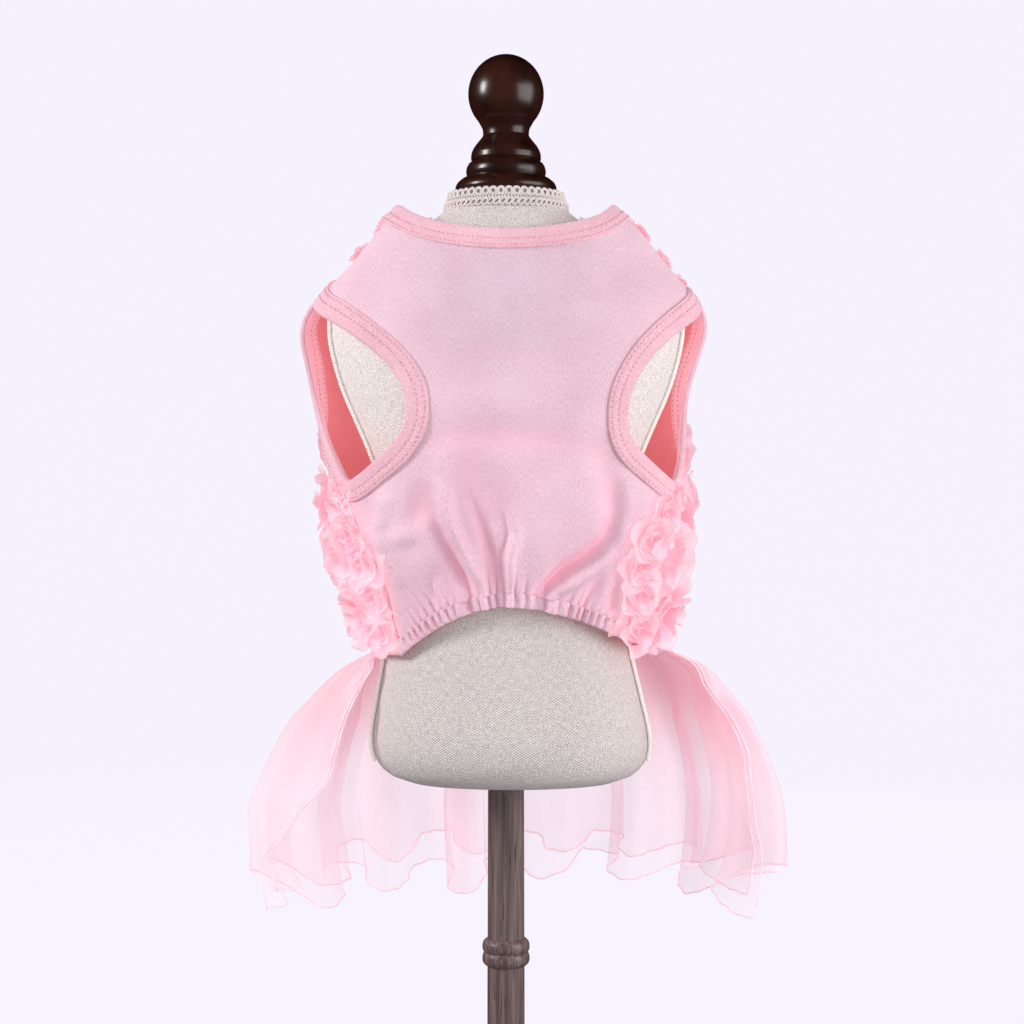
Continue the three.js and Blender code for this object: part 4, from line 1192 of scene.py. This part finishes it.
def flowers(tree, given):
    """A chosen kind of flower at each point, turned and sized its own way."""
    every = tree.nodes.new("GeometryNodeJoinGeometry")
    for kind in kinds:
        info = node(tree, "GeometryNodeObjectInfo", {"Object": kind, "As Instance": True})
        tree.links.new(info.outputs["Geometry"], every.inputs[0])
    facing, spin = (marked(tree, label, "FLOAT_VECTOR") for label in ("facing", "spin"))
    seat = node(tree, "FunctionNodeAxesToRotation", {0: facing, 1: spin}, primary_axis="Z",
                secondary_axis="X")
    size = calc(tree, "MULTIPLY", marked(tree, "size", "FLOAT"), given["Size"])
    placed = {"Points": given["Source"], "Instance": every.outputs[0], "Pick Instance": True,
              "Instance Index": marked(tree, "kind", "INT"), "Rotation": seat.outputs[0],
              "Scale": size}
    return node(tree, "GeometryNodeInstanceOnPoints", placed).outputs[0]


def back_angle(z, length):
    """The angle from the centre back at a distance along the cloth, in whole degrees."""
    angle, covered, step = 0, 0.0, int(np.sign(length))
    while covered < abs(length):
        here = bodice(180 - angle, z)
        angle += step
        covered += float(np.linalg.norm(bodice(180 - angle, z) - here))
    return angle


# A painted glow stands for light that thin chiffon passes from petal to petal.
pink_chiffon = chiffon("pink chiffon", (0.83, 0.54, 0.62), (0.84, 0.36, 0.46), (0.9, 0.64, 0.71, 0.11))
kinds = []
for k in range(ROSETTE["kinds"]):
    flower = bpy.data.objects.new(f"flower_{k}", ribbon_flower(f"flower_{k}"))
    scene.collection.objects.link(flower)
    kinds.append(flower)
rosettes = growing_tree("rosettes", {"Size": 1}, flowers)
for number, (level, count, pitch, radius, climb, tufts) in enumerate(rosette_rows, 1):
    half = (count - 1) / 2 * pitch
    seats = []
    for k in range(count):
        length = k * pitch - half
        z = level + climb * (length / half) ** 2
        seats.append((180 - back_angle(z, length), z, 1.0))
    for side, z, inset, size in tufts:
        edge = float(read(sections, "belly_" + side, z)) + inset * DEGREES_PER_MM
        seats.append((-edge if side == "left" else edge, z, size))
    angle, z, sizes = np.transpose(seats)
    facings = bodice_normal(angle, z)
    places = off_cloth(angle, z, 0.2)
    turn = np.array([ribbon_draw.uniform(0, 2 * math.pi) for _ in seats])[:, None]
    sideways = unit(np.cross((0, 0, 1), facings))
    points = bpy.data.meshes.new("rosette_points")
    points.from_pydata((MM * places).tolist(), [], [])
    mark(points, "facing", "FLOAT_VECTOR", facings)
    spin = sideways * np.cos(turn) + np.cross(facings, sideways) * np.sin(turn)
    mark(points, "spin", "FLOAT_VECTOR", spin)
    mark(points, "size", "FLOAT", sizes)
    mark(points, "kind", "INT", (np.arange(len(seats)) * 2 + number) % ROSETTE["kinds"])
    name = f"rosettes_row_{number}"
    mesh = grown(name, points, rosettes, pink_chiffon,
                 Size=ROSETTE["overlap"] * radius / ROSETTE["radius"])
    # The flowers' feet follow the round of the back.
    flat = np.empty(len(mesh.vertices) * 3)
    mesh.vertices.foreach_get("co", flat)
    flat = flat.reshape(-1, 3) / MM
    owner = np.argmin(np.linalg.norm(flat[:, None] - places[None], axis=2), axis=1)
    height = np.sum((flat - places[owner]) * facings[owner], axis=1)
    foot = flat - height[:, None] * facings[owner]
    seated = off_cloth(bodice_angle(foot), foot[:, 2], height + ROSETTE["lift"])
    mesh.vertices.foreach_set("co", (MM * seated).ravel())
    piece = add_piece(name, mesh, [pink_chiffon],
                      [f"rosette_{number}_{k + 1}" for k in range(count)])
    thicken(piece, 0.2)
    piece.visible_shadow = False  # so thin that hardly any light stops at a petal
for flower in kinds:
    bpy.data.objects.remove(flower)

# ---- The skirt ----
# Two layers of sheer pink organza, gathered to the back panel's hem from hip to hip and open in
# front. They fall in deep soft folds of uneven size, and a fine rolled hem finishes their edges.
SKIRT = {"space": 1.3, "drop": 0.8, "top_reach": 108, "hem_reach": 97, "columns": 440, "rows": 66,
         "depth": 108, "fold": 8, "waist": 170, "pleat": 6.6, "crease": 15.5, "hem": 430, "ripple": 12.5}
# How far out the skirt has spread, of its whole spread, at shares of its fall.
spread_rows = table(
    "z left right",
    (0, 0, 0), (0.04, 0.15, 0.24), (0.10, 0.32, 0.45), (0.24, 0.56, 0.66), (0.38, 0.75, 0.81),
    (0.56, 0.93, 0.95), (0.70, 1.04, 1.01), (0.85, 1.02, 1.02), (1, 1, 1))
# Where the front edges run, in millimetres from the middle.
front_rows = table(
    "z left right",
    (147, 127, 136), (160, 131, 138), (172, 134, 138.5), (185, 127, 137.5), (197, 116, 134.5),
    (208, 109, 133.5), (220, 97.5, 132), (237, 93, 130.5), (255, 88, 122.5), (272, 80, 110),
    (284, 73, 104), (292, 70, 92))
# The line of each layer's hem, in millimetres, from its right front corner round the folds of the
# back to its left front corner.
outer_hem = [
    (133, -30, 149), (124, -15, 149), (114, 4, 159), (126, 18, 163), (152, 12, 167), (158, 34, 167),
    (140, 50, 163), (116, 50, 151), (104, 60, 146), (102, 80, 154), (116, 92, 158), (104, 108, 156),
    (84, 98, 150), (70, 88, 149), (60, 102, 153), (68, 122, 158), (50, 128, 161), (44, 106, 163),
    (34, 90, 154), (20, 92, 149), (10, 110, 152), (2, 128, 156), (-12, 120, 156), (-12, 96, 151),
    (-22, 82, 142), (-34, 90, 143), (-32, 112, 152), (-42, 128, 155), (-56, 118, 152), (-60, 98, 146),
    (-70, 84, 143), (-82, 90, 146), (-86, 110, 154), (-104, 106, 156), (-108, 84, 152), (-94, 64, 145),
    (-102, 46, 140), (-124, 54, 150), (-142, 42, 162), (-142, 18, 164), (-126, 4, 158), (-119, -8, 153),
    (-129, -25, 153)]
inner_hem = [  # the inner layer is cut about 16 mm shorter
    (130, -22, 160), (120, -6, 162), (108, 12, 170), (120, 28, 174), (142, 26, 178), (142, 46, 176),
    (122, 50, 168), (108, 60, 164), (112, 80, 170), (106, 96, 170), (86, 88, 166), (74, 80, 164),
    (66, 94, 168), (70, 112, 172), (54, 116, 174), (46, 96, 170), (36, 82, 167), (24, 92, 167),
    (20, 112, 172), (4, 118, 174), (-6, 98, 168), (-18, 84, 165), (-30, 96, 169), (-34, 116, 174),
    (-50, 112, 173), (-56, 92, 166), (-66, 80, 161), (-78, 88, 166), (-86, 102, 171), (-100, 90, 168),
    (-96, 70, 162), (-90, 54, 156), (-104, 42, 154), (-126, 44, 166), (-134, 24, 172), (-120, 6, 166),
    (-112, -6, 162), (-124, -20, 162)]
# Where the folds bunch the cloth closer: across the skirt from -1 on the right to 1 on the left,
# how wide, and how much denser.
bunches = [(-0.80, 0.10, 0.9), (-0.55, 0.09, 0.8), (-0.28, 0.04, 0.4), (0.17, 0.035, 1.2),
           (0.42, 0.04, 0.3), (0.75, 0.25, 0.3)]


def organza(name, colour, clear, dense, glow):
    """Sheer crisp organza: a fine even weave, closer together where it is gathered."""
    made, tree, shader = finish_of(name, colour, 0.45, glow, Sheen_Weight=0.4, Sheen_Roughness=0.35)
    cloth = cloth_of(tree)
    fallen = ways_of(tree, cloth)["Y"]
    crowd = remap(tree, fallen, 0.0, 0.085, interpolation_type="SMOOTHSTEP")
    ease = calc(tree, "MULTIPLY", noise(tree, cloth, 3, 28), 0.16)
    bunch = node(tree, "ShaderNodeAttribute", attribute_name="bunch").outputs["Fac"]
    cover = calc(tree, "ADD", remap(tree, crowd, 0.0, 1.0, dense, clear), ease)
    tree.links.new(calc(tree, "MULTIPLY", cover, bunch), shader.inputs["Alpha"])
    shade = mixed(tree, crowd, (colour[0], colour[1] * 0.72, colour[2] * 0.74), colour)
    surface(tree, shader, shade, noise(tree, cloth, 1, 1500), 0.25, 0.0001)
    return made


def skirt_grid(side, hem):
    """Points of one layer, with its rows from the waist down, and how far each has fallen."""
    across = np.linspace(-1, 1, SKIRT["columns"])[None, :]
    fall = np.linspace(0, 1, SKIRT["rows"])[:, None] ** 1.15
    angle = 180 + across * SKIRT["top_reach"]
    top = back_hem(-across * SKIRT["top_reach"]) - SKIRT["drop"]
    start = off_cloth(angle, top, side * SKIRT["space"])
    corners = smooth_line(hem, 1.0)
    share = np.linspace(0, 1, len(corners))
    goal = np.stack([np.interp((across + 1) / 2, share, corners[:, k]) for k in range(3)], axis=-1)
    # The folds' own shape is what the hem's line has beyond a plain oval, and it grows downwards.
    half_width = np.where(across < 0, goal[..., 0].max(), -goal[..., 0].min()) - SKIRT["fold"]
    plain = oval_point(180 + across * SKIRT["hem_reach"], top, half_width, SKIRT["depth"])
    fold = (goal - plain) * (1, 1, 0)
    spread = np.where(across < 0, read(spread_rows, "right", fall), read(spread_rows, "left", fall))
    grow = np.clip(fall / 0.30, 0, 1) ** 1.3 * (0.42 + 0.58 * fall)
    points = start + (plain - start) * spread[..., None] + fold * grow[..., None]
    away = unit(points * (1, 1, 0))
    # Close gathers at the waist open into the folds, and soft creases run down between them.
    along = across * SKIRT["waist"]
    pleat = np.sin(2 * math.pi * along / SKIRT["pleat"] + 1.4 * np.sin(along / 9))
    pleat = pleat * (0.7 + 0.3 * np.sin(along / 13))
    pleat = pleat * np.exp(-((fall - 0.06) / 0.10) ** 2) * np.clip(fall / 0.02, 0, 1)
    soft = np.sin(2 * math.pi * along / SKIRT["crease"] + 2.2 * fall + 1.1 * np.sin(along / 17 + side))
    soft = soft * np.exp(-((fall - 0.35) / 0.3) ** 2)
    near_hem = np.exp(-((1 - fall) / 0.04) ** 2)
    turns = 2 * math.pi * SKIRT["hem"] / SKIRT["ripple"]
    ripple = np.sin(across * turns + 1.8 * np.sin(across * 21))
    points += away * (1.7 * pleat + 1.4 * soft + 0.35 * ripple * near_hem)[..., None]
    points[..., 2] = top + (goal[..., 2] - top) * fall + 0.3 * ripple * near_hem
    # The front edges curl in towards the hips.
    hold = np.exp(-((1 - np.abs(across)) / 0.07) ** 2) * np.clip(fall / 0.05, 0, 1) * (1 - fall**5)
    z = points[..., 2]
    edge = np.where(across < 0, read(front_rows, "right", z), -read(front_rows, "left", z))
    points[..., 0] += hold * (edge * (1 - 0.02 * (side < 0)) - points[..., 0])
    points[..., 1] += hold * (-14 - 12 * np.sin(np.pi * fall) - points[..., 1]) * 0.85
    edge_wave = np.sin(z / 3.9 + 1.6 * np.sin(z / 13 + side)) * 1.6 * np.clip(fall / 0.1, 0, 1)
    points[..., 1] += edge_wave * np.exp(-((1 - np.abs(across)) / 0.015) ** 2)
    return points, (top - goal[..., 2]) * fall


def tube(tree, given):
    """A round roll of cloth swept along a path."""
    curve = node(tree, "GeometryNodeMeshToCurve", {"Mesh": given["Source"]})
    roll = node(tree, "GeometryNodeCurveToMesh",
                {0: curve.outputs[0], 1: ring_of(tree, 8, given["Radius"]), "Fill Caps": True})
    return node(tree, "GeometryNodeSetShadeSmooth", {0: roll.outputs[0]}).outputs[0]


rolled = growing_tree("rolled hem", {"Radius": 0}, tube)
# A paler thread with a painted glow, as painted light on the thin rolled hems.
painted_bright_hem_thread = yarn("rolled hem", (0.88, 0.66, 0.73), 0.6, 0.4, glow=(1.0, 0.66, 0.76, 0.3), Alpha=0.75)
across = np.linspace(1, -1, SKIRT["columns"])
bunch = 1 + sum(more * np.exp(-((across - at) / wide) ** 2) for at, wide, more in bunches)
layers = (("skirt_outer", 1, outer_hem, 0.165), ("skirt_inner", -1, inner_hem, 0.147))
for name, side, line, cut in layers:
    # A painted glow stands for daylight through the sheer organza.
    cloth = organza(name + " organza", (0.94, 0.63, 0.71), 0.11, 0.48, (0.95, 0.66, 0.78, 0.21))
    points, fallen = skirt_grid(side, line)
    lengths = arc_lengths(points)[-1]
    mesh = cloth_mesh(name + "_cloth", points[::-1, ::-1], (lengths[-1] - lengths)[None, :],
                      fallen[::-1, ::-1])
    mark(mesh, "bunch", "FLOAT", np.tile(bunch, SKIRT["rows"]))
    piece = add_piece(name + "_cloth", mesh, [cloth], [name])
    border = np.concatenate([points[3:-1, 0], points[-1], points[-2:2:-1, -1]])
    hem = grown(name + "_hem", [(border, np.zeros_like(border))], rolled, painted_bright_hem_thread, Radius=0.0005)
    hem_piece = add_piece(name + "_hem", hem, [painted_bright_hem_thread])
